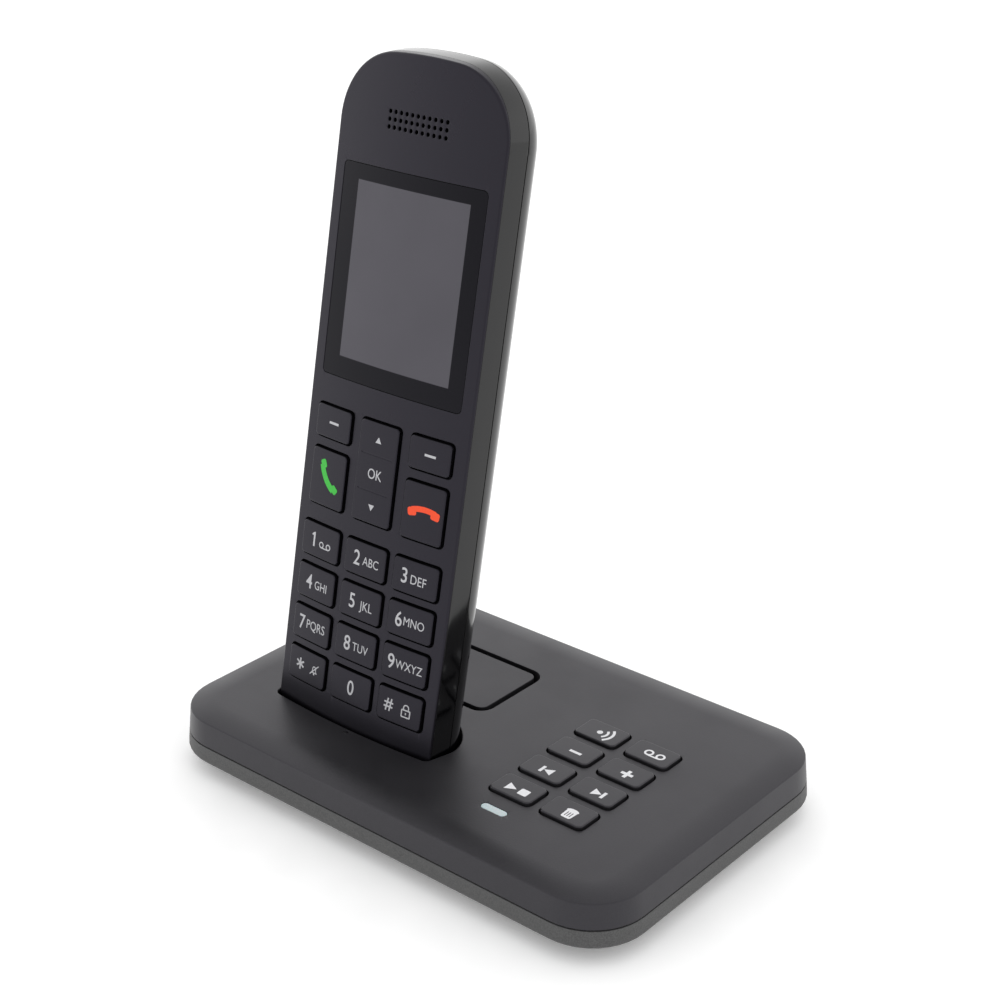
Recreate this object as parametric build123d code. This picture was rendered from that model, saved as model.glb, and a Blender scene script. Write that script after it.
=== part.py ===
"""Cordless telephone with an answering machine in its charging base.

Millimetres, +Z up. The origin is on the table under the middle of the base, +Y towards the back.
The handset's pieces are drawn upright in their own frame and then leaned into the base:
x across the handset, y into its thickness from the front face, z up from its lower end.
"""
from build123d import *
import math
import os

# ---- base housing ----
BASE_WIDTH = 131.0
BASE_DEPTH = 86.0
BASE_CORNER = 14.2
BASE_HEIGHT = 15.5
RIM_BOTTOM = 4.6          # lower edge of the upright side
SEAM = 8.5                # joint between the two covers
CREASE = 14.6             # where the side meets the top
UNDERSIDE = 1.2
SIDE_LEAN = 1.0           # how far the crease stands inside the rim, each side
TOP_SLOPE = 7.0           # width of the soft slope round the top
PLINTH_INSET = 5.0
SEAM_GAP = 0.15
TOP_WALL = 2.0
SIDE_WALL = 2.0
FLOOR_WALL = 1.4

# ---- base keys ----
KEY_ROWS_Y = [12.2, 2.15, -7.9, -17.95]
KEY_COLUMNS_X = [23.0, 37.1]
BASE_KEY_NAMES = [
    ["key_page", "key_messages"],
    ["key_volume_down", "key_volume_up"],
    ["key_previous", "key_next"],
    ["key_play_stop", "key_delete"],
]
BASE_OPENING = (12.2, 8.2)
BASE_OPENING_CORNER = 1.7
KEY_GAP = 0.28
KEY_RISE = 0.6            # how far a cap stands out of its opening
FLANGE = 0.5
FLANGE_THICKNESS = 0.5
BASE_FLANGE_TOP = 13.35
KEY_MAT_TOP = 12.1
KEY_BOARD = (13.6, 46.6, -28.5, 19.4)
KEY_BOARD_TOP = 11.2
BOARD_THICKNESS = 1.0
BOARD_PINS = [(15.3, 17.8), (44.9, 17.8), (15.3, -24.0), (44.9, -24.0)]

# ---- loudspeaker and its panel ----
PANEL_SIZE = (38.2, 21.2)
PANEL_CENTRE_Y = 13.3
PANEL_CORNER = 2.6
PANEL_SLOT = 1.2
PANEL_THICKNESS = 1.6
SHELF_TOP = 12.3
SHELF_THICKNESS = 1.0
SPEAKER_SIZE = (36.0, 19.5)
SPEAKER_BOTTOM = 5.0
SPEAKER_TOP = 10.9

# ---- small things on and in the base ----
LIGHT_BAR = (23.7, -27.0)
LIGHT_BAR_SIZE = (6.9, 2.2)
CHARGE_LIGHT = (-22.6, -24.75)
CHARGE_LIGHT_RADIUS = 0.65
SOCKET_CENTRES_X = {"line_socket": 10.0, "power_socket": 25.5}
SOCKET_CONTACTS = {"line_socket": 4, "power_socket": 2}
SOCKET_BODY = (12.4, 13.0, 8.1)
SOCKET_BOTTOM = 5.3
SOCKET_BACK = 40.0
SOCKET_OPENING = (9.8, 6.8)
SOCKET_FLOOR = 0.6
MAIN_BOARD = (4.6, 60.0, -36.0, 39.0)
MAIN_BOARD_TOP = 5.2
SCREW_PLACES = [(-44.0, -33.0), (-44.0, 32.0), (40.0, -33.0), (40.0, 32.0)]
SCREW_HEAD = 2.7
SCREW_SHANK = 1.3
FOOT_PLACES = [(-52.0, -30.0), (52.0, -30.0), (52.0, 30.0), (-52.0, 30.0)]
FOOT_RADIUS = 4.5
FOOT_RECESS = 0.4

# ---- handset ----
LEAN = 11.4               # degrees that the handset leans back
HANDSET_X = -24.1
FACE_AT_TOP = -22.8       # y where the handset's face passes the base's top
SUNK = 7.1                # length of the handset's face below the base's top
HANDSET_LENGTH = 159.3
HANDSET_HALF = 24.8
HANDSET_THICKNESS = 20.9
CROWN_RADIUS = 178.6      # curve of the face across its width
SIDE_DEPTH = 7.3          # where the sides turn into the rounded back
FRONT_PART = 2.3          # depth of the front shell's edge
FRAME_FRONT = 2.5
FRAME_BACK = 7.2
BACK_PART = 7.4
BACK_TOP_ROUND = 9.0
BACK_BOTTOM_ROUND = 5.0
BACK_STEPS = [0, 12, 24, 36, 47, 57, 66, 74, 80]
TOP_CORNER = 15.5
TOP_ARCH = 3.0            # how far the top edge falls to its corners
BOTTOM_CORNER = 7.0
FACE_EDGE = 1.9
SHELL_WALL = 1.5

# ---- keypad of the handset ----
NUMBER_PITCH = (14.62, 10.24)
NUMBER_OPENING = (13.2, 8.7)
NUMBER_TOP_ROW = 47.5
SIDE_KEY_INNER = 8.48
SIDE_KEY_OUTER = 20.58
SOFT_KEY_Z = (71.5, 79.7)
CALL_KEY_Z = (55.65, 69.55)
NAVIGATION_HALF = 6.15
NAVIGATION_Z = (55.8, 79.7)
OPENING_CORNER = 1.3
HANDSET_FLANGE_TOP = 2.45
NUMBER_NAMES = [
    ["key_1", "key_2", "key_3"],
    ["key_4", "key_5", "key_6"],
    ["key_7", "key_8", "key_9"],
    ["key_star", "key_0", "key_hash"],
]
ROCKER_ROOM = 0.35        # the rocker key's flange stands this much higher, to leave room to tilt
PIVOT_DEPTH = 1.42        # the rocker key tilts about this depth

# ---- display, boards and cells of the handset ----
WINDOW_HALF = 20.7
WINDOW_Z = (86.2, 134.0)
WINDOW_CORNER = 1.2
LENS_THICKNESS = 1.3
LENS_GAP = 0.08
DISPLAY_HALF = 18.6
DISPLAY_Z = (87.9, 132.3)
DISPLAY_DEPTH = (2.4, 4.3)
PHONE_BOARD_DEPTH = (4.5, 5.5)
EAR_ROWS = 3
EAR_COLUMNS = 11
EAR_PITCH = (1.62, 1.66)
EAR_CENTRE_Z = 144.6
EAR_HOLE = 0.45
DOOR_HALF = 17.0
DOOR_Z = (24.0, 90.0)
DOOR_GAP = 0.15
DOOR_FRONT = 12.0
CELL_RADIUS = 5.25
CELL_DEPTH = 13.4
CELL_Z = (33.0, 77.5)
TRAY = (11.4, 29.0, 82.0)
TRAY_WALL = 1.2
BOSS_PLACES = [(-17.0, 9.0), (17.0, 9.0), (-17.0, 139.0), (17.0, 139.0)]
CONTACT_X = [-8.0, 8.0]
CONTACT_DEPTH = 11.0
POCKET_GAP = 0.7
POCKET_WALL = 1.3
POCKET_FLOOR = 2.9
POST_RADIUS = 2.3         # front shell's screw posts
PILOT_HOLE = 0.95
SLEEVE_RADIUS = 2.9       # back shell's screw sleeves
PHONE_SCREW_HEAD = 1.9
PHONE_SCREW_SHANK = 0.8
PHONE_HEAD_SEAT = 11.2    # depth that the screw heads rest at
SKIRT = (1.75, 2.7)       # insets of the front shell's inner skirt


def slab(width, depth, corner, z_low, z_high, at=(0, 0)):
    """Upright prism on a rounded rectangle."""
    outline = Pos(at[0], at[1], z_low) * RectangleRounded(width, depth, corner)
    return extrude(outline, amount=z_high - z_low)


def block(x, y, z):
    """Box between pairs of limits along X, Y and Z."""
    size = Box(x[1] - x[0], y[1] - y[0], z[1] - z[0])
    return Pos((x[0] + x[1]) / 2, (y[0] + y[1]) / 2, (z[0] + z[1]) / 2) * size


def rod(radius, z_low, z_high, at):
    """Upright round bar."""
    bar = Cylinder(radius, z_high - z_low, align=(Align.CENTER, Align.CENTER, Align.MIN))
    return Pos(at[0], at[1], z_low) * bar


def taper(low, high):
    """Solid between two rounded rectangles, each given as width, depth, corner and height."""
    faces = [Pos(0, 0, z) * RectangleRounded(w, d, r) for w, d, r, z in (low, high)]
    return loft(faces)


def ring(inset, z):
    """Outline of the base's side, moved in by inset, at height z."""
    return (BASE_WIDTH - 2 * inset, BASE_DEPTH - 2 * inset, BASE_CORNER - inset, z)


def side_inset(z):
    """How far the side stands inside the rim at height z."""
    return SIDE_LEAN * (z - RIM_BOTTOM) / (CREASE - RIM_BOTTOM)


# ---- handset frame ----

def into_base(shape):
    """Leans a piece of the handset, or each solid of a group, back and stands it in the base."""
    if isinstance(shape, list):
        return Compound(children=[into_base(solid) for solid in shape])
    lean = math.radians(LEAN)
    foot_y = FACE_AT_TOP - SUNK * math.sin(lean)
    foot_z = BASE_HEIGHT - SUNK * math.cos(lean)
    return Location((HANDSET_X, foot_y, foot_z), (-LEAN, 0, 0)) * shape


def through(sketch, front, back):
    """Prism into the handset's thickness, from depth front to depth back."""
    return extrude(Plane.XZ.offset(-back) * sketch, amount=back - front)


def pin(radius, front, back, x, z):
    """Round bar that points into the handset's thickness."""
    return through(Pos(x, z) * Circle(radius), front, back)


def window(half, z_limits, corner, front, back, x=0.0):
    """Rounded rectangular prism into the handset's thickness."""
    height = z_limits[1] - z_limits[0]
    outline = Pos(x, (z_limits[0] + z_limits[1]) / 2) * RectangleRounded(2 * half, height, corner)
    return through(outline, front, back)


def behind_crown(offset):
    """Everything deeper than the face's curve moved in by offset."""
    bar = Cylinder(CROWN_RADIUS - offset, HANDSET_LENGTH + 20)
    return Pos(0, CROWN_RADIUS, HANDSET_LENGTH / 2) * bar


def handset_outline(inset=0.0, top_inset=None, bottom_inset=None):
    """Front view of the handset: straight sides, arched top and rounded corners."""
    half = HANDSET_HALF - inset
    high = HANDSET_LENGTH - (inset if top_inset is None else top_inset)
    low = inset if bottom_inset is None else bottom_inset
    shrink = half / HANDSET_HALF
    shoulder = high - TOP_ARCH * shrink
    arch = ThreePointArc((half, shoulder), (0, high), (-half, shoulder))
    sides = Polyline((-half, shoulder), (-half, low), (half, low), (half, shoulder))
    face = make_face([arch, *sides.edges()])
    face = fillet(face.vertices().sort_by(Axis.Y)[-2:], TOP_CORNER * shrink)
    return fillet(face.vertices().sort_by(Axis.Y)[:2], BOTTOM_CORNER * shrink)


def round_inset(depth, radius, thickness):
    """How far an end of radius at the back has moved in at this depth."""
    past = max(depth - (thickness - radius), 0.0)
    return radius - math.sqrt(radius * radius - past * past)


def handset_form(wall=0.0):
    """Solid outer form of the handset, or the room inside walls of this thickness."""
    thickness = HANDSET_THICKNESS - wall
    rise = (thickness - SIDE_DEPTH) / math.sin(math.radians(BACK_STEPS[-1]))
    faces = []
    for step in BACK_STEPS:
        depth = SIDE_DEPTH + rise * math.sin(math.radians(step))
        side = HANDSET_HALF - (HANDSET_HALF - wall) * math.cos(math.radians(step))
        top = wall + round_inset(depth, BACK_TOP_ROUND - wall, thickness)
        bottom = wall + round_inset(depth, BACK_BOTTOM_ROUND - wall, thickness)
        faces.append(Plane.XZ.offset(-depth) * handset_outline(side, top, bottom))
    return through(handset_outline(wall), -3, SIDE_DEPTH) + loft(faces)


def handset_section(grow):
    """Cross-section of the room for the handset: straight sides and a rounded back."""
    half = HANDSET_HALF + 0.1 + grow
    back = HANDSET_THICKNESS - SIDE_DEPTH + grow
    rounded = Pos(0, SIDE_DEPTH) * Ellipse(half, back)
    rounded = rounded & (Pos(0, SIDE_DEPTH + back) * Rectangle(4 * half, 2 * back))
    section = rounded + Pos(0, (SIDE_DEPTH - grow) / 2) * Rectangle(2 * half, SIDE_DEPTH + grow)
    return fillet(section.vertices().sort_by(Axis.Y)[:2], FACE_EDGE + grow)


def handset_body():
    """The handset's whole outer form as one solid, which its shells are cut from."""
    form = handset_form() & behind_crown(0)
    rim = form.edges().filter_by(lambda e: e.center().Y < FRONT_PART)
    return form.fillet(FACE_EDGE, rim)


def layer(front, back):
    """Slice of the handset between two depths."""
    return block((-40, 40), (front, back), (-20, HANDSET_LENGTH + 20))


def key_openings():
    """Name, centre x, half width and z limits of every key opening in the handset's face."""
    found = []
    half = NUMBER_OPENING[0] / 2
    for row, names in enumerate(NUMBER_NAMES):
        middle = NUMBER_TOP_ROW - row * NUMBER_PITCH[1]
        limits = (middle - NUMBER_OPENING[1] / 2, middle + NUMBER_OPENING[1] / 2)
        for column, name in enumerate(names):
            found.append((name, (column - 1) * NUMBER_PITCH[0], half, limits))
    side = (SIDE_KEY_INNER + SIDE_KEY_OUTER) / 2
    half = (SIDE_KEY_OUTER - SIDE_KEY_INNER) / 2
    found.append(("key_soft_left", -side, half, SOFT_KEY_Z))
    found.append(("key_soft_right", side, half, SOFT_KEY_Z))
    found.append(("key_call", -side, half, CALL_KEY_Z))
    found.append(("key_end", side, half, CALL_KEY_Z))
    found.append(("key_navigation", 0.0, NAVIGATION_HALF, NAVIGATION_Z))
    return found


# ---- handset pieces ----

def front_shell(body):
    """Matt front cover with its key openings, lens seat, ear holes, inner skirt and screw posts."""
    shell = (body & layer(-3, FRONT_PART)) - behind_crown(SHELL_WALL)
    skirt = through(handset_outline(SKIRT[0]), 1.6, 5.0) - through(handset_outline(SKIRT[1]), 1, 6)
    skirt = skirt & behind_crown(0.5)
    seat = window(WINDOW_HALF + 1.1, (WINDOW_Z[0] - 1.1, WINDOW_Z[1] + 1.1), 1.5, 1.0, 3.1)
    shell = shell + skirt + (seat & behind_crown(0.5))
    for x, z in BOSS_PLACES:
        shell = shell + (pin(POST_RADIUS, 1.2, BACK_PART - 0.2, x, z) & behind_crown(0.6))
    lens_room = window(WINDOW_HALF, WINDOW_Z, WINDOW_CORNER, -3, 4)
    shell = shell - (lens_room - behind_crown(LENS_THICKNESS + 0.02))
    display_room = (DISPLAY_Z[0] - 0.3, DISPLAY_Z[1] + 0.3)
    shell = shell - window(DISPLAY_HALF + 0.3, display_room, 0.8, -3, 5)
    for _, x, half, limits in key_openings():
        shell = shell - window(half, limits, OPENING_CORNER, -3, 3.2, x)
    for x, z in BOSS_PLACES:
        shell = shell - pin(PILOT_HOLE, 3.6, 8, x, z)
    holes = [pin(EAR_HOLE, -2, 2.2, x, z) for x, z in ear_holes()]
    return shell - holes


def ear_holes():
    """Centres of the ear holes: rows of small round holes above the display."""
    spots = []
    for row in range(EAR_ROWS):
        for column in range(EAR_COLUMNS):
            x = (column - (EAR_COLUMNS - 1) / 2) * EAR_PITCH[0]
            z = EAR_CENTRE_Z + (row - (EAR_ROWS - 1) / 2) * EAR_PITCH[1]
            spots.append((x, z))
    return spots


def side_frame(body):
    """Glossy band between the front and back shells."""
    band = body & layer(FRAME_FRONT, FRAME_BACK)
    band = band - through(handset_outline(1.6), 0, 10)
    microphone_hole = rod(0.6, -2, 4, (0, 4.9))
    return band - microphone_hole


def back_shell(body, cavity):
    """Rounded back cover with the battery tray, the door opening and the screw posts."""
    shell = (body - cavity) & layer(BACK_PART, HANDSET_THICKNESS + 3)
    tray = block((-40, 40), (BACK_PART, BACK_PART + 0.7), (DOOR_Z[0] - 2, DOOR_Z[1] + 2)) + tray_walls()
    shell = shell + (tray & body)
    for x, z in BOSS_PLACES:
        post = pin(SLEEVE_RADIUS, BACK_PART, HANDSET_THICKNESS, x, z)
        shell = shell + (post & body)
    opening = block((-DOOR_HALF, DOOR_HALF), (DOOR_FRONT, 40), DOOR_Z)
    shell = shell - (opening - tray_walls())
    for x, z in BOSS_PLACES:
        shell = shell - pin(PHONE_SCREW_HEAD + 0.2, PHONE_HEAD_SEAT, 40, x, z)
        shell = shell - pin(PHONE_SCREW_SHANK + 0.3, 5, 20, x, z)
    for x in CONTACT_X:
        shell = shell - block((x - 2.1, x + 2.1), (CONTACT_DEPTH - 1.6, CONTACT_DEPTH + 1.6), (-1, 0.6))
    for step in range(-2, 3):
        slot = window(0.6, (112, 122), 0.55, 10, 40, 3.2 * step)
        shell = shell - slot
    return shell


def tray_walls():
    """Walls round the cells, which end under the door."""
    half, low, high = TRAY
    outer = (-half - TRAY_WALL, half + TRAY_WALL)
    walls = block(outer, (BACK_PART, 15.4), (low - TRAY_WALL, high + TRAY_WALL))
    return walls - block((-half, half), (0, 30), (low, high))


def battery_door(body, cavity):
    """Curved lid over the battery tray."""
    limits = (DOOR_Z[0] + DOOR_GAP, DOOR_Z[1] - DOOR_GAP)
    lid = block((DOOR_GAP - DOOR_HALF, DOOR_HALF - DOOR_GAP), (DOOR_FRONT, 40), limits)
    return (body - cavity) & lid


def display_lens():
    """Curved clear window that fills the opening above the keys."""
    limits = (WINDOW_Z[0] + LENS_GAP, WINDOW_Z[1] - LENS_GAP)
    plate = window(WINDOW_HALF - LENS_GAP, limits, WINDOW_CORNER, -2, 4)
    return (plate & behind_crown(0.05)) - behind_crown(LENS_THICKNESS)


def display_module():
    """Flat display panel with its metal frame."""
    return window(DISPLAY_HALF, DISPLAY_Z, 0.5, *DISPLAY_DEPTH)


def phone_board():
    """Circuit board behind the keys and the display."""
    board = through(handset_outline(3.6), *PHONE_BOARD_DEPTH)
    for x, z in BOSS_PLACES:
        board = board - pin(2.8, 4, 6, x, z)
    return board - pin(9.6, 4, 6, 0, EAR_CENTRE_Z)


def phone_key_mat():
    """Rubber sheet with one switch dome under each key."""
    mat = window(20.9, (11.6, 80.6), 1.5, 3.95, 4.45)
    for name, x, _, limits in key_openings():
        middle = (limits[0] + limits[1]) / 2
        if name != "key_navigation":
            mat = mat + pin(2.0, 3.7, 4.2, x, middle)
    return mat


def handset_key(x, half, limits, flange_top=HANDSET_FLANGE_TOP):
    """Key cap with a soft edge that follows the face, and the flange that holds it in."""
    low, high = limits[0] + KEY_GAP, limits[1] - KEY_GAP
    cap = window(half - KEY_GAP, (low, high), OPENING_CORNER - KEY_GAP, -3, flange_top, x)
    cap = cap & behind_crown(-KEY_RISE)
    rim = cap.faces().sort_by(Axis.Y)[0].edges()
    cap = cap.fillet(0.35, rim)
    wide = half - KEY_GAP + FLANGE
    edge = (low - FLANGE, high + FLANGE)
    return cap + window(wide, edge, 1.2, flange_top, flange_top + FLANGE_THICKNESS, x)


def navigation_key():
    """Long rocker key. Its back is hollowed for the pivot that it rocks on."""
    key = handset_key(0.0, NAVIGATION_HALF, NAVIGATION_Z, HANDSET_FLANGE_TOP - ROCKER_ROOM)
    middle = (NAVIGATION_Z[0] + NAVIGATION_Z[1]) / 2
    return key - window(2.4, (middle - 2.4, middle + 2.4), 0.5, 1.3, 4)


def navigation_pivot():
    """Post behind the rocker key, which carries it and passes on a press in the middle."""
    middle = (NAVIGATION_Z[0] + NAVIGATION_Z[1]) / 2
    post = window(2.1, (middle - 1.6, middle + 1.6), 0.3, PIVOT_DEPTH, 3.1)
    return post + pin(2.0, 2.9, 3.2, 0.0, middle)


def earpiece():
    """Small round ear capsule."""
    return pin(9.2, 2.6, 5.8, 0, EAR_CENTRE_Z)


def microphone():
    """Microphone capsule at the lower end."""
    return through(Pos(0, 4.4) * Circle(1.25), 5.7, 7.1)


def ringer():
    """Ringer loudspeaker inside the back shell."""
    cup = pin(8.5, 11.0, 14.6, 0, 117)
    return cup + pin(5.0, 9.0, 11.2, 0, 117)


def battery_cells():
    """Two round cells with their raised positive ends, side by side and head to tail."""
    cells = []
    for side in (-1, 1):
        at = (side * (CELL_RADIUS + 0.15), CELL_DEPTH)
        body = rod(CELL_RADIUS, CELL_Z[0], CELL_Z[1], at)
        tip = (CELL_Z[1], CELL_Z[1] + 1.0) if side > 0 else (CELL_Z[0] - 1.0, CELL_Z[0])
        cells.append(body + rod(1.8, tip[0], tip[1], at))
    return cells


def battery_contacts():
    """Sprung contact leaves at the ends of the tray."""
    leaves = []
    for side in (-1, 1):
        x = side * (CELL_RADIUS + 0.15)
        across = (x - 3.2, x + 3.2)
        deep = (CELL_DEPTH - 3.4, CELL_DEPTH + 3.2)
        leaves.append(block(across, deep, (TRAY[1] + 0.05, TRAY[1] + 0.6)))
        leaves.append(block(across, deep, (TRAY[2] - 0.6, TRAY[2] - 0.05)))
    return leaves


def charge_pads():
    """Metal pads in the handset's lower end that meet the base's contacts."""
    deep = (CONTACT_DEPTH - 1.5, CONTACT_DEPTH + 1.5)
    return [block((x - 2.0, x + 2.0), deep, (0.02, 0.55)) for x in CONTACT_X]


def handset_screws():
    """Four self-tapping screws that hold the back shell to the front shell's posts."""
    screws = []
    for x, z in BOSS_PLACES:
        head = pin(PHONE_SCREW_HEAD, PHONE_HEAD_SEAT + 0.05, 12.4, x, z)
        screw = head + pin(PHONE_SCREW_SHANK, 4.2, 12.4, x, z)
        screws.append(screw - pin(0.7, 11.8, 13, x, z))
    return screws


def radio_shield():
    """Folded metal can over the radio circuit on the handset's board."""
    can = window(9.0, (92.0, 110.0), 0.6, PHONE_BOARD_DEPTH[1] + 0.05, 7.2)
    return can - window(8.7, (92.3, 109.7), 0.5, PHONE_BOARD_DEPTH[1], 6.9)


# ---- base pieces ----

def pocket(grow, z_low):
    """Space that the handset's lower end takes in the base, grown on every side."""
    form = extrude(Pos(0, 0, z_low) * handset_section(grow), amount=60)
    return into_base(form)


def base_key_centres():
    """Name and centre of each base key."""
    for row, y in enumerate(KEY_ROWS_Y):
        for column, x in enumerate(KEY_COLUMNS_X):
            yield BASE_KEY_NAMES[row][column], x, y


def socket_notches():
    """Room in the covers' back walls for the two sockets, and the openings to them."""
    cuts = []
    width, depth, height = SOCKET_BODY
    low = SOCKET_BOTTOM + SOCKET_FLOOR - 0.2
    for x in SOCKET_CENTRES_X.values():
        half = SOCKET_OPENING[0] / 2 + 0.3
        cuts.append(block((x - half, x + half), (36, 50), (low, low + SOCKET_OPENING[1] + 0.4)))
        half = width / 2 + 0.2
        room = (SOCKET_BACK - depth - 1, SOCKET_BACK + 0.1)
        tall = (SOCKET_BOTTOM - 0.2, SOCKET_BOTTOM + height + 0.1)
        cuts.append(block((x - half, x + half), room, tall))
    return cuts


def base_top_cover():
    """Upper cover with the handset's pocket, the key openings and the loudspeaker's recess."""
    low = SEAM + SEAM_GAP
    cover = taper(ring(side_inset(low), low), ring(SIDE_LEAN, CREASE))
    cover = cover + taper(ring(SIDE_LEAN, CREASE), ring(SIDE_LEAN + TOP_SLOPE, BASE_HEIGHT))
    hollow = slab(*ring(SIDE_WALL + SIDE_LEAN, 0)[:3], 0, BASE_HEIGHT - TOP_WALL)
    cover = cover - hollow
    below_top = block((-70, 70), (-50, 50), (POCKET_FLOOR, BASE_HEIGHT - 1))
    cover = cover + (pocket(POCKET_GAP + POCKET_WALL, -0.3 - POCKET_WALL) & below_top)
    cover = cover - pocket(POCKET_GAP, -0.3)
    cover = cover + speaker_shelf() - speaker_recess()
    for place in SCREW_PLACES:
        cover = cover + rod(3.0, 4.1, BASE_HEIGHT - 1, place) - rod(SCREW_SHANK + 0.05, 4, 12.5, place)
    for place in BOARD_PINS:
        cover = cover + rod(1.0, KEY_BOARD_TOP - 1.6, BASE_HEIGHT - 1, place)
    for _, x, y in base_key_centres():
        cover = cover - slab(*BASE_OPENING, BASE_OPENING_CORNER, 10, 20, (x, y))
    cover = cover - slab(*LIGHT_BAR_SIZE, LIGHT_BAR_SIZE[1] / 2 - 0.01, 10, 20, LIGHT_BAR)
    cover = cover - rod(CHARGE_LIGHT_RADIUS, 13.8, 20, CHARGE_LIGHT)
    cover = cover - contact_slots()
    return cover - socket_notches()


def contact_slots():
    """Slots in the pocket's floor that the charging contacts stand in."""
    deep = (CONTACT_DEPTH - 1.1, CONTACT_DEPTH + 1.1)
    return into_base([block((x - 1.6, x + 1.6), deep, (-4, 1)) for x in CONTACT_X])


def speaker_shelf():
    """Floor under the loudspeaker's panel, hung from the top wall."""
    width, depth = (size + 2 * PANEL_SLOT + 2.4 for size in PANEL_SIZE)
    low = SHELF_TOP - SHELF_THICKNESS
    return slab(width, depth, PANEL_CORNER + 2, low, BASE_HEIGHT - 1, (HANDSET_X, PANEL_CENTRE_Y))


def speaker_recess():
    """Room for the panel, and the slits below it that let the sound up."""
    at = (HANDSET_X, PANEL_CENTRE_Y)
    width, depth = (size + 2 * PANEL_SLOT for size in PANEL_SIZE)
    room = slab(width, depth, PANEL_CORNER + PANEL_SLOT, SHELF_TOP, 20, at)
    for step in range(-4, 5):
        slit = slab(1.6, 12.0, 0.75, 10, 13, (HANDSET_X + 3.4 * step, PANEL_CENTRE_Y))
        room = room + slit
    return room


def speaker_panel():
    """Flat lid over the loudspeaker, on four pegs, with an open slot all round it."""
    at = (HANDSET_X, PANEL_CENTRE_Y)
    low = BASE_HEIGHT - PANEL_THICKNESS
    panel = slab(*PANEL_SIZE, PANEL_CORNER, low, BASE_HEIGHT, at)
    for side_x in (-1, 1):
        for side_y in (-1, 1):
            peg = (HANDSET_X + side_x * 16.8, PANEL_CENTRE_Y + side_y * 8.4)
            panel = panel + rod(1.2, SHELF_TOP, low + 0.2, peg)
    return panel


def base_bottom_cover():
    """Lower cover: a band below the seam, a sloped underside, the lip, screw wells and foot seats."""
    high = SEAM - SEAM_GAP
    cover = taper(ring(0, RIM_BOTTOM), ring(side_inset(high), high))
    cover = cover + taper(ring(PLINTH_INSET, UNDERSIDE), ring(0, RIM_BOTTOM))
    lip = slab(*ring(SIDE_WALL + SIDE_LEAN + 0.2, 0)[:3], 6, high + 1.6)
    cover = cover + lip
    floor = UNDERSIDE + FLOOR_WALL
    cover = cover - taper(ring(PLINTH_INSET + 1.5, floor), ring(SIDE_WALL, RIM_BOTTOM + 0.8))
    cover = cover - slab(*ring(SIDE_WALL, 0)[:3], RIM_BOTTOM + 0.7, high - 1.4)
    cover = cover - slab(*ring(SIDE_WALL + SIDE_LEAN + 1.4, 0)[:3], RIM_BOTTOM, 20)
    for place in SCREW_PLACES:
        cover = cover + rod(4.2, floor - 0.2, 3.9, place)
        cover = cover - rod(SCREW_HEAD + 0.3, 0, 2.5, place) - rod(SCREW_SHANK + 0.3, 0, 9, place)
    for place in FOOT_PLACES:
        cover = cover - rod(FOOT_RADIUS + 0.05, 0, UNDERSIDE + FOOT_RECESS, place)
    for corner in [(7.0, -32.0), (57.0, -32.0), (57.0, 30.0), (7.0, 24.0)]:
        cover = cover + rod(1.6, floor - 0.2, MAIN_BOARD_TOP - BOARD_THICKNESS - 0.05, corner)
    return cover - socket_notches()


def board(limits, z_top):
    """Flat circuit board, given its limits in x and y."""
    x_low, x_high, y_low, y_high = limits
    return block((x_low, x_high), (y_low, y_high), (z_top - BOARD_THICKNESS, z_top))


def main_board():
    """Main circuit board, with clearance round the screw posts."""
    plate = board(MAIN_BOARD, MAIN_BOARD_TOP) & slab(*ring(4.4, 0)[:3], 0, 10)
    for place in SCREW_PLACES[2:]:
        plate = plate - rod(4.6, 0, 10, place)
    return plate


def key_board():
    """Board under the base keys, held on four pins of the top cover."""
    plate = board(KEY_BOARD, KEY_BOARD_TOP)
    for place in BOARD_PINS:
        plate = plate - rod(1.1, 0, 20, place)
    return plate


def base_key_mat():
    """Rubber sheet with a switch dome under each base key."""
    mat = slab(26.0, 36.0, 1.5, KEY_BOARD_TOP + 0.05, KEY_BOARD_TOP + 0.5, (30.05, -2.9))
    for _, x, y in base_key_centres():
        mat = mat + rod(2.0, KEY_BOARD_TOP + 0.2, KEY_MAT_TOP, (x, y))
    return mat


def base_key(x, y):
    """Base key cap with a soft edge and its flange."""
    width, depth = (size - 2 * KEY_GAP for size in BASE_OPENING)
    corner = BASE_OPENING_CORNER - KEY_GAP
    cap = slab(width, depth, corner, BASE_FLANGE_TOP, BASE_HEIGHT + KEY_RISE, (x, y))
    cap = cap.fillet(0.4, cap.faces().sort_by(Axis.Z)[-1].edges())
    flange = slab(width + 2 * FLANGE, depth + 2 * FLANGE, corner, 0, FLANGE_THICKNESS, (x, y))
    return cap + Pos(0, 0, BASE_FLANGE_TOP - FLANGE_THICKNESS) * flange


def socket(name):
    """Modular socket on the main board, open at the back, with its spring wires."""
    x = SOCKET_CENTRES_X[name]
    width, depth, height = SOCKET_BODY
    half, tall = SOCKET_OPENING[0] / 2, SOCKET_OPENING[1]
    front = SOCKET_BACK - depth
    low = SOCKET_BOTTOM + SOCKET_FLOOR
    top = SOCKET_BOTTOM + height
    body = block((x - width / 2, x + width / 2), (front, SOCKET_BACK), (SOCKET_BOTTOM, top))
    body = body - block((x - half, x + half), (front + 1.5, SOCKET_BACK + 1), (low, low + tall))
    count = SOCKET_CONTACTS[name]
    for step in range(count):
        at = x + 1.2 * (step - (count - 1) / 2)
        wire = (low + tall - 0.5, low + tall + 0.1)
        body = body + block((at - 0.2, at + 0.2), (front + 1, front + 9), wire)
    return body


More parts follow.
